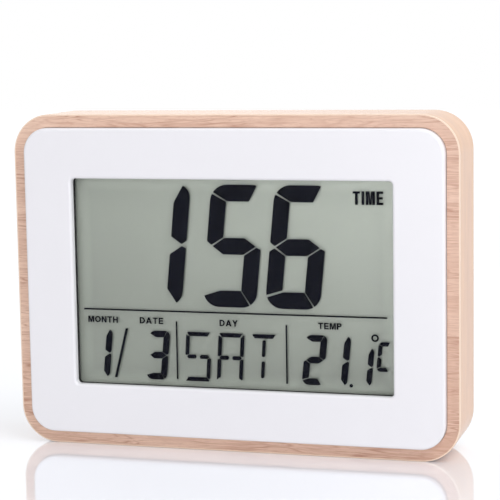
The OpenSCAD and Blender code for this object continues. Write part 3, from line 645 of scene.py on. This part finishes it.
# Widths of the caption letters as shares of their height; an I is as wide as its stem
LETTER_WIDTHS = dict(
    T=0.80, M=1.0, E=0.74, O=0.98, N=0.82, H=0.82, D=0.86, A=0.94, Y=0.88, P=0.78
)

# Space between the caption letters as a share of their height
LETTER_GAP = 0.16

# Thickness of a letter's bars as a share of its stems
BAR_SHARE = 0.86


def bow(x, y, rx, ry, start, end, steps=12):
    """Points of an oval arc, from one angle to another in degrees."""
    turns = (math.radians(start + (end - start) * i / steps) for i in range(steps + 1))
    return [(x + rx * math.cos(a), y + ry * math.sin(a)) for a in turns]


def letter_outline(letter, w, h, t):
    """Outlines of a capital w wide and h high with stems t wide: the outer one, then any hole."""
    b = BAR_SHARE * t
    m = h / 2
    if letter == "I":
        return [[(0, 0), (t, 0), (t, h), (0, h)]]
    if letter == "T":
        a, c = w / 2 - t / 2, w / 2 + t / 2
        return [[(a, 0), (c, 0), (c, h - b), (w, h - b), (w, h), (0, h), (0, h - b), (a, h - b)]]
    if letter == "E":
        arm = 0.93 * w
        foot = [(0, 0), (w, 0), (w, b), (t, b)]
        middle = [(t, m - b / 2), (arm, m - b / 2), (arm, m + b / 2), (t, m + b / 2)]
        return [[*foot, *middle, (t, h - b), (w, h - b), (w, h), (0, h)]]
    if letter == "M":
        half = [(0, h), (0, 0), (t, 0), (t, 0.74 * h), (w / 2 - 0.45 * t, 0)]
        other = [(w - x, y) for x, y in reversed(half)]
        return [[*half, *other, (w - 1.4 * t, h), (w / 2, 0.34 * h), (1.4 * t, h)]]
    if letter == "N":
        half = [(0, h), (0, 0), (t, 0), (t, 0.66 * h)]
        return [[*half, (w - 1.1 * t, 0), *[(w - x, h - y) for x, y in half], (1.1 * t, h)]]
    if letter == "H":
        half = [(0, h), (0, 0), (t, 0), (t, m - b / 2)]
        other = [(w - x, y) for x, y in reversed(half)]
        return [[*half, *other, (w - t, h), (w - t, m + b / 2), (t, m + b / 2), (t, h)]]
    if letter == "O":
        outer = bow(w / 2, m, w / 2, m, 0, 360, 36)[:-1]
        return [outer, bow(w / 2, m, w / 2 - t, m - b, 0, 360, 36)[:-1]]
    if letter == "D":
        r = 0.56 * w
        outer = [(0, 0), *bow(w - r, m, r, m, -90, 90), (0, h)]
        return [outer, [(t, b), *bow(w - r, m, r - t, m - b, -90, 90), (t, h - b)]]
    if letter == "P":
        r = 0.29 * h
        outer = [(0, 0), (t, 0), (t, h - 2 * r), *bow(w - r, h - r, r, r, -90, 90), (0, h)]
        hole = [(t, h - 2 * r + b), *bow(w - r, h - r, r - t, r - b, -90, 90), (t, h - b)]
        return [outer, hole]
    if letter == "A":
        lean = (w / 2 - 0.55 * t) / h
        foot = 1.08 * t
        leg = foot + 0.2 * h * lean
        bar = foot + 0.36 * h * lean
        half = [(w / 2 - 0.55 * t, h), (0, 0), (foot, 0), (leg, 0.2 * h)]
        outer = [*half, *[(w - x, y) for x, y in reversed(half)]]
        return [outer, [(bar, 0.36 * h), (w - bar, 0.36 * h), (w / 2, (w / 2 - foot) / lean)]]
    # What is left is the Y
    fork = h - (w / 2 - 1.15 * t) * 0.6 * h / (w / 2 - t / 2)
    half = [(1.15 * t, h), (0, h), (w / 2 - t / 2, 0.4 * h), (w / 2 - t / 2, 0)]
    return [[*half, *[(w - x, y) for x, y in reversed(half)], (w / 2, fork)]]


def caption(name, word, height, width, stem, thickness):
    """A word in bold capitals as a closed mesh in the XY plane, its lower left at the origin."""
    shares = [LETTER_WIDTHS.get(letter, 0) * height for letter in word]
    gap = LETTER_GAP * height
    free = width - stem * word.count("I")
    stretch = free / (sum(shares) + gap * (len(word) - 1))
    curve = bpy.data.curves.new(name, "CURVE")
    curve.dimensions = "2D"
    curve.fill_mode = "BOTH"
    curve.extrude = thickness / 2
    x = 0.0
    for letter, share in zip(word, shares):
        wide = share * stretch or stem
        for loop in letter_outline(letter, wide, height, stem):
            line = curve.splines.new("POLY")
            line.points.add(len(loop) - 1)
            for point, (px, py) in zip(line.points, loop):
                point.co = (x + px, py, 0, 1)
            line.use_cyclic_u = True
        x += wide + gap * stretch
    piece = bpy.data.objects.new(name, curve)
    bpy.context.scene.collection.objects.link(piece)
    piece = made_mesh(piece, name, 1e-7)
    piece.location = (0, 0, thickness / 2)
    place_in_mesh(piece)
    return piece


def face_front(piece, x, z, y_back):
    """Stands flat lettering up to be read from the front, its lower left at x, z."""
    piece.rotation_euler = (math.pi / 2, 0, 0)
    piece.location = (x, y_back, z)
    place_in_mesh(piece)


def face_back(piece, x, z, y_foot):
    """Stands flat lettering up to be read from behind, centred on x, its foot sunk at y_foot."""
    wide = max(v.co.x for v in piece.data.vertices)
    piece.rotation_euler = (math.pi / 2, 0, math.pi)
    piece.location = (x + wide / 2, y_foot, z)
    place_in_mesh(piece)


# Radius of the ring's outer corners, in mm, as in the part's source
RING_CORNER = 17.2


class CLOCK_OT_veneer(bpy.types.Operator):
    """Finish the wooden ring: its core, front veneer and edge strip"""

    bl_idname = "clock.veneer"
    bl_label = "Veneer"

    def execute(self, context):
        colours = context.scene.clock_colours
        pale = with_alpha(colours.veneer_pale)
        brown = with_alpha(colours.veneer_brown)
        line = with_alpha(colours.veneer_line)

        varnish = {"Coat Weight": 0.35, "Coat Roughness": 0.2}
        front, g, shader = start_material("Veneer Front", varnish)
        x, y, z = g.parts(g.place())
        grain = use_group(
            g,
            grain_group(),
            {
                "Vector": g.add("ShaderNodeCombineXYZ", {"X": x, "Y": z, "Z": y}),
                "Pale": pale,
                "Brown": brown,
                "Line": line,
                "Band Strength": 0.75,
                "Line Strength": 0.85,
                "Seed": 0.37,
            },
        )
        # Painted shade: the sheet of veneer is painted darker towards its lower right
        low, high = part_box("front_veneer")
        shade_rightwards = g.spread(x, 0.0, high.x)
        shade_downwards = g.spread(z, low.z, high.z, 0.28, 0.14)
        wood = g.mix(g.math("MULTIPLY", shade_rightwards, shade_downwards), grain.outputs["Color"], line)
        self.join(g, shader, grain, wood)
        dress(front, "front_veneer")

        varnish = {"Coat Weight": 0.5, "Coat Roughness": 0.1, "Specular IOR Level": 0.2}
        strip, g, shader = start_material("Veneer Edge", varnish)
        place = g.place()
        low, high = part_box("edge_veneer")
        around = use_group(
            g,
            perimeter_group(),
            {
                "Vector": place,
                "Half Width": high.x,
                "Half Height": (high.z - low.z) / 2,
                "Radius": RING_CORNER * MM,
                "Middle": (high.z + low.z) / 2,
            },
        )
        grain = use_group(
            g,
            grain_group(),
            {
                "Vector": around,
                "Pale": with_alpha(colours.edge_pale),
                "Brown": brown,
                "Line": line,
                "Band Strength": 0.7,
                "Line Strength": 0.2,
                "Seed": 1.9,
            },
        )
        # Painted highlight: the strip is painted pale over its first millimetre, along its front
        # edge; it is also browner over its last nine
        depth = g.parts(place)["Y"]
        paled = g.spread(depth, low.y + 0.3 * MM, low.y + 1.1 * MM, 0.65, 0.0)
        wood = g.mix(paled, grain.outputs["Color"], with_alpha(linear(250, 234, 218)))
        dull = g.spread(depth, high.y - 9 * MM, high.y - 1 * MM, 0.0, 0.4)
        self.join(g, shader, grain, g.mix(dull, wood, with_alpha(linear(222, 174, 132))))
        dress(strip, "edge_veneer")

        core, g, shader = start_material("Fibreboard")
        place = g.place()
        fibres = g.noise(place, 2600.0, detail=4.0, roughness=0.65, distortion=1.2)
        clumps = g.noise(place, 420.0, detail=3.0)
        tone = g.total(g.math("MULTIPLY", fibres, 0.65), g.math("MULTIPLY", clumps, 0.35))
        board = g.between(tone, 0.32, 0.68, linear(168, 134, 100), linear(214, 184, 148))
        rough = g.spread(tone, 0.3, 0.7, 0.95, 0.8)
        normal = bump(g, tone, 0.08 * MM)
        g.fill(shader, {"Base Color": board, "Roughness": rough, "Normal": normal})
        dress(core, "wood_ring")
        return {"FINISHED"}

    @staticmethod
    def join(g, shader, grain, colour):
        rough = g.math("ADD", grain.outputs["Varnish"], 0.34)
        normal = bump(g, grain.outputs["Height"], 0.03 * MM)
        g.fill(shader, {"Base Color": colour, "Roughness": rough, "Normal": normal})


class CLOCK_OT_front_panel(bpy.types.Operator):
    """Finish the white front panel, the lens and the foam behind it"""

    bl_idname = "clock.front_panel"
    bl_label = "Front panel"

    def execute(self, context):
        white = moulded(
            "White Panel",
            context.scene.clock_colours.panel_white,
            grain=0.9,
            roughness=0.235,
            depth=0.003,
            tone=0.012,
            spread=0.03,
        )
        dress(white, "front_panel")
        plain_finish("Black Foam")
        dress(clear_sheet("Clear Lens", (1, 1, 1), index=1.1, roughness=0.02), "window_lens")
        return {"FINISHED"}


class CLOCK_OT_display(bpy.types.Operator):
    """Finish the display: films, glasses, seal, segments and reflector"""

    bl_idname = "clock.display"
    bl_label = "Display"

    def execute(self, context):
        colours = context.scene.clock_colours
        ground, g, shader = start_material("Display Ground", {"Metallic": 0.2})
        place = g.place()
        specks = g.noise(place, 5200.0, detail=2.0, roughness=0.6)
        slow = g.noise(place, 24.0, detail=2.0)
        x, _, z = g.parts(place)
        # Painted light: behind the large digits the film is painted paler on its right, and below
        # them on its left
        low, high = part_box("rear_reflector")
        lean = g.spread(z, low.z + 12 * MM, low.z + 34 * MM, -0.09, 0.045)
        across = g.spread(x, low.x, high.x, -1.0, 1.0)
        # Distance from the nearest edge of the lens
        lens_low, lens_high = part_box("window_lens")
        side = g.math("SUBTRACT", lens_high.x, g.math("ABSOLUTE", x))
        foot = g.math("SUBTRACT", z, lens_low.z)
        head = g.math("SUBTRACT", lens_high.z, z)
        reach = g.math("MINIMUM", side, g.math("MINIMUM", foot, head))
        # Painted light too: the film is painted paler towards its top, and paler along its border
        # to make up for the shade that the window's recess casts on it
        level = g.total(
            g.spread(specks, 0.25, 0.75, -0.035, 0.035),
            g.spread(slow, 0.3, 0.7, 0.99, 1.03),
            g.spread(z, low.z, high.z, -0.21, 0.2),
            g.math("MULTIPLY", lean, across),
            g.spread(reach, 2.2 * MM, 9 * MM, 0.32, 0.0),
            g.spread(foot, 2.2 * MM, 6 * MM, 0.2, 0.0),
        )
        tint = g.add("ShaderNodeCombineColor", {0: level, 1: level, 2: level})
        grey = g.mix(1.0, with_alpha(colours.display_grey), tint.outputs[0], "MULTIPLY")
        rough = g.spread(specks, 0.3, 0.7, 0.3, 0.4)
        g.fill(shader, {"Base Color": grey, "Roughness": rough})
        dress(ground, "rear_reflector")

        dark = moulded(
            "Dark Segments",
            colours.segment_dark,
            grain=0.2,
            roughness=0.6,
            depth=0.001,
            tone=0.06,
            sockets={"Specular IOR Level": 0.0},
        )
        dress(dark, "display_segments")
        film = clear_film("Polarizer Film", linear(44, 48, 46), roughness=0.4, share=0.02)
        dress(film, "front_polarizer")
        glass = clear_film("Display Glass", linear(70, 80, 76), roughness=0.1, share=0.005)
        dress(glass, "front_glass", "rear_glass")
        for name in ("Seal Epoxy", "Contact Rubber", "Black Holder"):
            plain_finish(name)
        return {"FINISHED"}


# Captions: piece, word, the setting that holds its height, its lower left corner in X and Z,
# its width and the width of its stems, in mm
CAPTIONS = (
    ("caption_time", "TIME", "time_height", 54.9, 111.95, 13.55, 1.2),
    ("caption_month", "MONTH", "caption_height", -69.8, 56.4, 14.4, 0.64),
    ("caption_date", "DATE", "caption_height", -44.8, 56.5, 11.3, 0.64),
    ("caption_day", "DAY", "caption_height", -6.8, 56.5, 8.5, 0.64),
    ("caption_temp", "TEMP", "caption_height", 38.8, 56.65, 10.6, 0.64),
)


class CLOCK_OT_captions(bpy.types.Operator):
    """Add the captions of the display, in its liquid crystal layer"""

    bl_idname = "clock.captions"
    bl_label = "Captions"

    def execute(self, context):
        sizes = context.scene.clock_sizes
        low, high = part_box("display_segments")
        dark = bpy.data.materials["Dark Segments"]
        for name, word, setting, x, z, width, stem in CAPTIONS:
            height = getattr(sizes, setting)
            piece = caption(name, word, height, width * MM, stem * MM, high.y - low.y)
            face_front(piece, x * MM, z * MM, high.y)
            piece.data.materials.append(dark)
            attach(piece, "clock")
        return {"FINISHED"}


# Depth of a capacitor's bare top, and half the length between a resistor's tinned ends, in mm
CAN_TOP = 0.05
CHIP_BODY_HALF = 0.65


class CLOCK_OT_board(bpy.types.Operator):
    """Finish the circuit board and what is on it"""

    bl_idname = "clock.board"
    bl_label = "Circuit board"

    def execute(self, context):
        board, g, shader = start_material("Solder Mask", {"IOR": 1.5})
        place = g.place()
        flat = g.add("ShaderNodeMapping", {"Vector": place, "Scale": (1, 0, 1)})
        turned = g.add("ShaderNodeMapping", {"Vector": flat, "Rotation": (math.pi / 2, 0, 0)})
        tracks = g.add(
            "ShaderNodeTexBrick",
            {
                "Vector": turned,
                "Scale": 1.0,
                "Mortar Size": 0.2 * MM,
                "Brick Width": 9 * MM,
                "Row Height": 1.6 * MM,
                "Color1": (0.010, 0.085, 0.035, 1),
                "Color2": (0.012, 0.098, 0.040, 1),
                "Mortar": (0.022, 0.165, 0.070, 1),
            },
        )
        weave = g.noise(place, 1800.0, detail=2.0)
        cloth = g.spread(weave, 0.3, 0.7, 0.0, 0.25)
        green = g.mix(cloth, tracks.outputs["Color"], (0.03, 0.15, 0.07, 1))
        rough = g.spread(weave, 0.3, 0.7, 0.3, 0.4)
        normal = bump(g, tracks.outputs["Fac"], 0.03 * MM, 0.6)
        g.fill(shader, {"Base Color": green, "Roughness": rough, "Normal": normal})
        dress(board, "circuit_board")
        plain_finish("Chip Epoxy")
        plain_finish("Tinned Can")

        sleeve, g, shader = start_material("Capacitor Sleeve", {"Coat Weight": 0.2})
        place = g.place()
        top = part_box("capacitors")[1].y - CAN_TOP * MM
        bare = g.math("GREATER_THAN", g.parts(place)["Y"], top)
        ring = g.noise(place, 700.0, detail=2.0)
        blue = g.between(ring, 0.3, 0.7, linear(34, 50, 96), linear(42, 60, 110))
        colour = g.mix(bare, blue, with_alpha(linear(200, 200, 198)))
        rough = g.spread(ring, 0.3, 0.7, 0.28, 0.38)
        g.fill(shader, {"Base Color": colour, "Metallic": bare, "Roughness": rough})
        dress(sleeve, "capacitors")

        chip, g, shader = start_material("Resistor Chips")
        place = g.place()
        low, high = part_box("resistors")
        away = g.math("SUBTRACT", g.parts(place)["X"], (low.x + high.x) / 2)
        end = g.math("GREATER_THAN", g.math("ABSOLUTE", away), CHIP_BODY_HALF * MM)
        speck = g.noise(place, 4000.0, detail=2.0)
        black = g.between(speck, 0.3, 0.7, linear(34, 34, 36), linear(48, 48, 50))
        colour = g.mix(end, black, with_alpha(linear(205, 204, 198)))
        rough = g.spread(speck, 0.3, 0.7, 0.35, 0.5)
        g.fill(shader, {"Base Color": colour, "Metallic": end, "Roughness": rough})
        dress(chip, "resistors")
        plain_finish("Sensor Epoxy")
        for name in ("Switch Black", "Switch Plunger", "Zinc Plating"):
            plain_finish(name)
        plain_finish("Red Insulation")
        plain_finish("Black Insulation")
        return {"FINISHED"}


class CLOCK_OT_rear_cover(bpy.types.Operator):
    """Finish the rear cover, the battery door and the buttons"""

    bl_idname = "clock.rear_cover"
    bl_label = "Rear cover"

    def execute(self, context):
        colours = context.scene.clock_colours
        texture = moulded(
            "Textured White", colours.cover_white, grain=0.45, roughness=0.52, depth=0.02
        )
        dress(texture, "rear_cover", "battery_door")
        grey = moulded(
            "Button Grey", colours.button_grey, grain=0.35, roughness=0.45, depth=0.012, tone=0.04
        )
        dress(grey, *numbered("button"))
        return {"FINISHED"}


# Legends of the buttons in their order: the word, and the height and width of a sign as shares
# of the legends' height, where it isn't a word
LEGENDS = (("SET", None), ("+", (0.75, 0.75)), ("-", (0.15, 0.75)), ("C/F", None))

# From a button's lower edge down to the foot of its legend, and how deep marks sink into the
# plastic that carries them, in mm
LEGEND_DROP = 4.9
MARK_SUNK = 0.1

# How much bolder than the plain font the legends are, as a share of the letters' size
LEGEND_WEIGHT = 0.012


class CLOCK_OT_legends(bpy.types.Operator):
    """Add the legends under the buttons"""

    bl_idname = "clock.legends"
    bl_label = "Legends"

    def execute(self, context):
        sizes = context.scene.clock_sizes
        ink = moulded(
            "Legend Ink", linear(74, 76, 80), grain=0.3, roughness=0.6, depth=0.004, tone=0.08
        )
        sunk = MARK_SUNK * MM
        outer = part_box("battery_door")[1].y
        for i, (word, sign) in zip(BUTTONS, LEGENDS):
            low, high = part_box(f"button_{i}")
            height, width = sizes.legend_height, None
            if sign:
                height, width = (share * height for share in sign)
            depth = sizes.relief + sunk
            piece = lettering(f"legend_{i}", word, height, depth, LEGEND_WEIGHT, width)
            rise = sizes.legend_height / 2 - height / 2
            foot = low.z - LEGEND_DROP * MM + rise
            face_back(piece, (low.x + high.x) / 2, foot, outer - sunk)
            piece.data.materials.append(ink)
            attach(piece, "clock")
        return {"FINISHED"}


# The bead round a button: its radius, half its thickness, in mm, and how far it is flattened
COLLAR_RADIUS = 5.1
COLLAR_BEAD = 0.5
COLLAR_FLATNESS = 0.8


class CLOCK_OT_collars(bpy.types.Operator):
    """Add the moulded bead round each button"""

    bl_idname = "clock.collars"
    bl_label = "Button collars"

    def execute(self, context):
        boxes = [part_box(name) for name in numbered("button")]
        middles = [(low + high) / 2 for low, high in boxes]
        first = self.bead(middles[0])
        beads = [first, *(copied(first, middle - middles[0]) for middle in middles[1:])]
        for name, bead in zip(numbered("button_collar"), beads):
            bead.name = name
            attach(bead, "clock")
        return {"FINISHED"}

    @staticmethod
    def bead(middle):
        """The bead on the cover round a button with that middle."""
        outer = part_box("battery_door")[1].y
        nothing_selected()
        bpy.ops.mesh.primitive_torus_add(
            location=(middle.x, outer, middle.z),
            rotation=(math.pi / 2, 0, 0),
            major_segments=48,
            minor_segments=12,
            major_radius=COLLAR_RADIUS * MM,
            minor_radius=COLLAR_BEAD * MM,
        )
        bead = bpy.context.object
        place_in_mesh(bead)
        bpy.ops.object.mode_set(mode="EDIT")
        bpy.ops.mesh.select_all(action="SELECT")
        bpy.ops.transform.resize(value=(1, COLLAR_FLATNESS, 1), center_override=(0, outer, 0))
        bpy.ops.mesh.normals_make_consistent(inside=False)
        bpy.ops.object.mode_set(mode="OBJECT")
        bpy.ops.object.shade_smooth()
        bead.data.materials.append(bpy.data.materials["Textured White"])
        return bead


# Grip ribs on the door, from its top edge down, in mm: the first one's length, how much
# shorter each next one is, the first one's place and their pitch
RIB_LENGTH = 13
RIB_TAPER = 1.6
RIB_START = 3.0
RIB_PITCH = 1.5

# A rib's thickness, height and rounding, and how far its middle stands out of the door, in mm
RIB_DEPTH = 0.6
RIB_HEIGHT = 0.7
RIB_ROUND = 0.22
RIB_OUT = 0.1

# The arrow's radius, its distance from the door's top edge and its rounding, in mm
ARROW_RADIUS = 2.6
ARROW_START = 13.5
ARROW_ROUND = 0.1

# Edges sharper than this stay sharp
SMOOTH_ANGLE = math.radians(35)


class CLOCK_OT_door_grip(bpy.types.Operator):
    """Add the grip ribs and the arrow on the battery door"""

    bl_idname = "clock.door_grip"
    bl_label = "Door grip"

    def execute(self, context):
        sizes = context.scene.clock_sizes
        texture = bpy.data.materials["Textured White"]
        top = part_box("battery_door")[1]
        for i in range(sizes.grip_ribs):
            nothing_selected()
            length = (RIB_LENGTH - RIB_TAPER * i) * MM
            z = top.z - (RIB_START + RIB_PITCH * i) * MM
            bpy.ops.mesh.primitive_cube_add(
                size=1,
                location=(0, top.y + RIB_OUT * MM, z),
                scale=(length, RIB_DEPTH * MM, RIB_HEIGHT * MM),
            )
            rib = bpy.context.object
            rib.name = f"door_rib_{i + 1}"
            place_in_mesh(rib)
            bpy.ops.object.mode_set(mode="EDIT")
            self.round_off(RIB_ROUND, 3)
            self.fit(rib, texture)

        nothing_selected()
        bpy.ops.mesh.primitive_circle_add(
            vertices=3,
            radius=ARROW_RADIUS * MM,
            fill_type="NGON",
            location=(0, top.y - MARK_SUNK * MM, top.z - ARROW_START * MM),
            rotation=(-math.pi / 2, 0, 0),
        )
        arrow = bpy.context.object
        arrow.name = "door_arrow"
        place_in_mesh(arrow)
        bpy.ops.object.mode_set(mode="EDIT")
        bpy.ops.mesh.select_all(action="SELECT")
        bpy.ops.mesh.extrude_region_move(
            TRANSFORM_OT_translate={"value": (0, sizes.relief + MARK_SUNK * MM, 0)}
        )
        self.round_off(ARROW_ROUND, 2)
        self.fit(arrow, bpy.data.materials["Legend Ink"], "button_grey")
        return {"FINISHED"}

    @staticmethod
    def round_off(size, segments):
        """Rounds all edges of the mesh in edit mode by size in mm, and leaves edit mode."""
        bpy.ops.mesh.select_all(action="SELECT")
        bpy.ops.mesh.bevel(
            offset=size * MM, offset_type="OFFSET", segments=segments, affect="EDGES"
        )
        bpy.ops.mesh.normals_make_consistent(inside=False)
        bpy.ops.object.mode_set(mode="OBJECT")
        bpy.ops.object.shade_smooth_by_angle(angle=SMOOTH_ANGLE)

    @staticmethod
    def fit(piece, material, slot="rear_plastic"):
        piece.data.materials.append(material)
        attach(piece, "battery_door")


# A cell along its length, in mm: its nub, the bare rim at its foot and its gold band
CELL_NUB = 1.35
CELL_RIM = 0.5
CELL_BAND = 15


class CLOCK_OT_cells(bpy.types.Operator):
    """Finish the cells and their contacts"""

    bl_idname = "clock.cells"
    bl_label = "Cells and contacts"

    def execute(self, context):
        for place_name, side in (("upper", -1), ("lower", 1)):
            node = f"{place_name}_cell"
            name = f"Cell Jacket {place_name.title()}"
            material, g, shader = start_material(name, {"Coat Weight": 0.3})
            place = g.place()
            low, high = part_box(node)
            nub_x = low.x if side < 0 else high.x
            run = g.math("ABSOLUTE", g.math("SUBTRACT", g.parts(place)["X"], nub_x))
            nub = g.math("LESS_THAN", run, CELL_NUB * MM)
            foot = g.math("GREATER_THAN", run, high.x - low.x - CELL_RIM * MM)
            metal = g.math("MAXIMUM", nub, foot)
            band = g.math("LESS_THAN", run, CELL_BAND * MM)
            scuff = g.noise(place, 900.0, detail=3.0, roughness=0.6)
            jacket = g.mix(band, with_alpha(linear(58, 66, 78)), with_alpha(linear(196, 160, 86)))
            paled = g.spread(scuff, 0.35, 0.75, 0.0, 0.12)
            jacket = g.mix(paled, jacket, (0.6, 0.6, 0.6, 1))
            colour = g.mix(metal, jacket, with_alpha(linear(210, 208, 200)))
            shine = g.math("MAXIMUM", metal, g.math("MULTIPLY", band, 0.6))
            rough = g.spread(scuff, 0.3, 0.7, 0.2, 0.26)
            g.fill(shader, {"Base Color": colour, "Metallic": shine, "Roughness": rough})
            g.fill(shader, {"Normal": bump(g, scuff, 0.01 * MM, 0.5)})
            dress(material, node)
        plain_finish("Nickel Plating")
        return {"FINISHED"}


# Sight and light pass the lens, the film and both glasses on the way in and out
CLEAR_LAYERS = 32

# Side of the square floor, in metres
FLOOR_SIZE = 6

# The lamps: name, place and size in metres, and the setting that holds the power
LAMPS = (
    ("key_lamp", (0.92, -0.42, 1.3), 1.35, "key_level"),
    ("front_lamp", (0.2, -1.4, 0.24), 0.8, "front_level"),
    ("rear_lamp", (-0.7, 1.15, 0.95), 1.1, "rear_level"),
)
LAMP_AIM = (0, 0, 0.08)

# The camera, worked out from the outline of the clock's front: its place in metres, its own
# axes, and its focal length in picture widths
CAMERA_PLACE = (0.228696, -0.756145, 0.190832)
CAMERA_RIGHT = (0.95913523, 0.28246348, -0.0165526)
CAMERA_UP = (-0.02025859, 0.12690513, 0.99170796)
CAMERA_AHEAD = (-0.28222189, 0.95084671, -0.1274415)
FOCAL_WIDTHS = 3.5268
SENSOR_WIDTH = 36


class CLOCK_OT_studio(bpy.types.Operator):
    """Set up the floor, the lamps, the sky and the camera"""

    bl_idname = "clock.studio"
    bl_label = "Studio"

    def execute(self, context):
        scene = context.scene
        scene.view_settings.view_transform = "Standard"
        scene.cycles.transparent_max_bounces = CLEAR_LAYERS
        settings = scene.clock_studio
        self.floor()
        self.sky(scene, settings.sky_level)
        for name, place, size, setting in LAMPS:
            self.lamp(scene, name, place, size, getattr(settings, setting))
        self.camera(scene)
        return {"FINISHED"}

    @staticmethod
    def floor():
        nothing_selected()
        bpy.ops.mesh.primitive_plane_add(size=FLOOR_SIZE, location=(0, 0, 0))
        floor = bpy.context.object
        floor.name = "studio_floor"
        polish = {"Roughness": 0.04, "IOR": 1.8, "Coat Weight": 1.0, "Coat Roughness": 0.04}
        sockets = {"Base Color": (0.88, 0.88, 0.9, 1), **polish}
        gloss, g, shader = start_material("White Floor", sockets)
        seen = g.looked_at()
        lift = g.add("ShaderNodeEmission", {"Color": (0.82, 0.94, 1.15, 1), "Strength": 0.11})
        bright = g.add("ShaderNodeAddShader", {0: shader, 1: lift})
        # Light that bounces off the floor onto the clock leaves it as from a matt surface
        matt = g.add("ShaderNodeBsdfDiffuse", {"Color": (0.85, 0.85, 0.85, 1)})
        g.show(g.add("ShaderNodeMixShader", {0: seen, 1: matt, 2: bright}))
        floor.data.materials.append(gloss)

    @staticmethod
    def sky(scene, level):
        world = bpy.data.worlds.new("Studio Sky")
        scene.world = world
        world.use_nodes = True
        world.node_tree.nodes.clear()
        g = Graph(world.node_tree)
        strength = g.spread(g.looked_at(), 0.0, 1.0, level, 1.0)
        sky = g.add("ShaderNodeBackground", {"Color": (1, 1, 1, 1), "Strength": strength})
        out = g.add("ShaderNodeOutputWorld")
        g.tree.links.new(sky.outputs[0], out.inputs["Surface"])

    @staticmethod
    def lamp(scene, name, place, size, power):
        data = bpy.data.lights.new(name, "AREA")
        data.shape = "SQUARE"
        data.size = size
        data.energy = power
        lamp = bpy.data.objects.new(name, data)
        scene.collection.objects.link(lamp)
        lamp.location = place
        towards = Vector(LAMP_AIM) - Vector(place)
        lamp.rotation_euler = towards.to_track_quat("-Z", "Y").to_euler()

    @staticmethod
    def camera(scene):
        data = bpy.data.cameras.new("camera")
        camera = bpy.data.objects.new("camera", data)
        scene.collection.objects.link(camera)
        axes = Matrix((CAMERA_RIGHT, CAMERA_UP, -Vector(CAMERA_AHEAD)))
        turn = axes.transposed().to_4x4()
        camera.matrix_world = Matrix.Translation(CAMERA_PLACE) @ turn
        data.sensor_width = SENSOR_WIDTH
        data.lens = FOCAL_WIDTHS * SENSOR_WIDTH
        data.clip_start = 0.05
        data.clip_end = 20
        scene.camera = camera


class CLOCK_PT_panel(bpy.types.Panel):
    """Steps and settings of the digital clock"""

    bl_label = "Digital Clock"
    bl_idname = "CLOCK_PT_panel"
    bl_space_type = "VIEW_3D"
    bl_region_type = "UI"
    bl_category = "Clock"

    def draw(self, context):
        scene = context.scene
        for step in STEPS:
            self.layout.operator(step.bl_idname)
        for settings in (scene.clock_sizes, scene.clock_colours, scene.clock_studio):
            box = self.layout.box()
            for name in settings.__annotations__:
                box.prop(settings, name)


SETTINGS = (ClockSizes, ClockColours, StudioSettings)
STEPS = (
    CLOCK_OT_veneer,
    CLOCK_OT_front_panel,
    CLOCK_OT_display,
    CLOCK_OT_captions,
    CLOCK_OT_board,
    CLOCK_OT_rear_cover,
    CLOCK_OT_legends,
    CLOCK_OT_collars,
    CLOCK_OT_door_grip,
    CLOCK_OT_cells,
    CLOCK_OT_studio,
)


def register():
    for cls in (*SETTINGS, *STEPS, CLOCK_PT_panel):
        bpy.utils.register_class(cls)
    bpy.types.Scene.clock_sizes = bpy.props.PointerProperty(type=ClockSizes)
    bpy.types.Scene.clock_colours = bpy.props.PointerProperty(type=ClockColours)
    bpy.types.Scene.clock_studio = bpy.props.PointerProperty(type=StudioSettings)


def unregister():
    del bpy.types.Scene.clock_studio
    del bpy.types.Scene.clock_colours
    del bpy.types.Scene.clock_sizes
    for cls in reversed((*SETTINGS, *STEPS, CLOCK_PT_panel)):
        bpy.utils.unregister_class(cls)


def main():
    register()
    for step in STEPS:
        group, name = step.bl_idname.split(".")
        getattr(getattr(bpy.ops, group), name)()


if __name__ == "__main__":
    main()
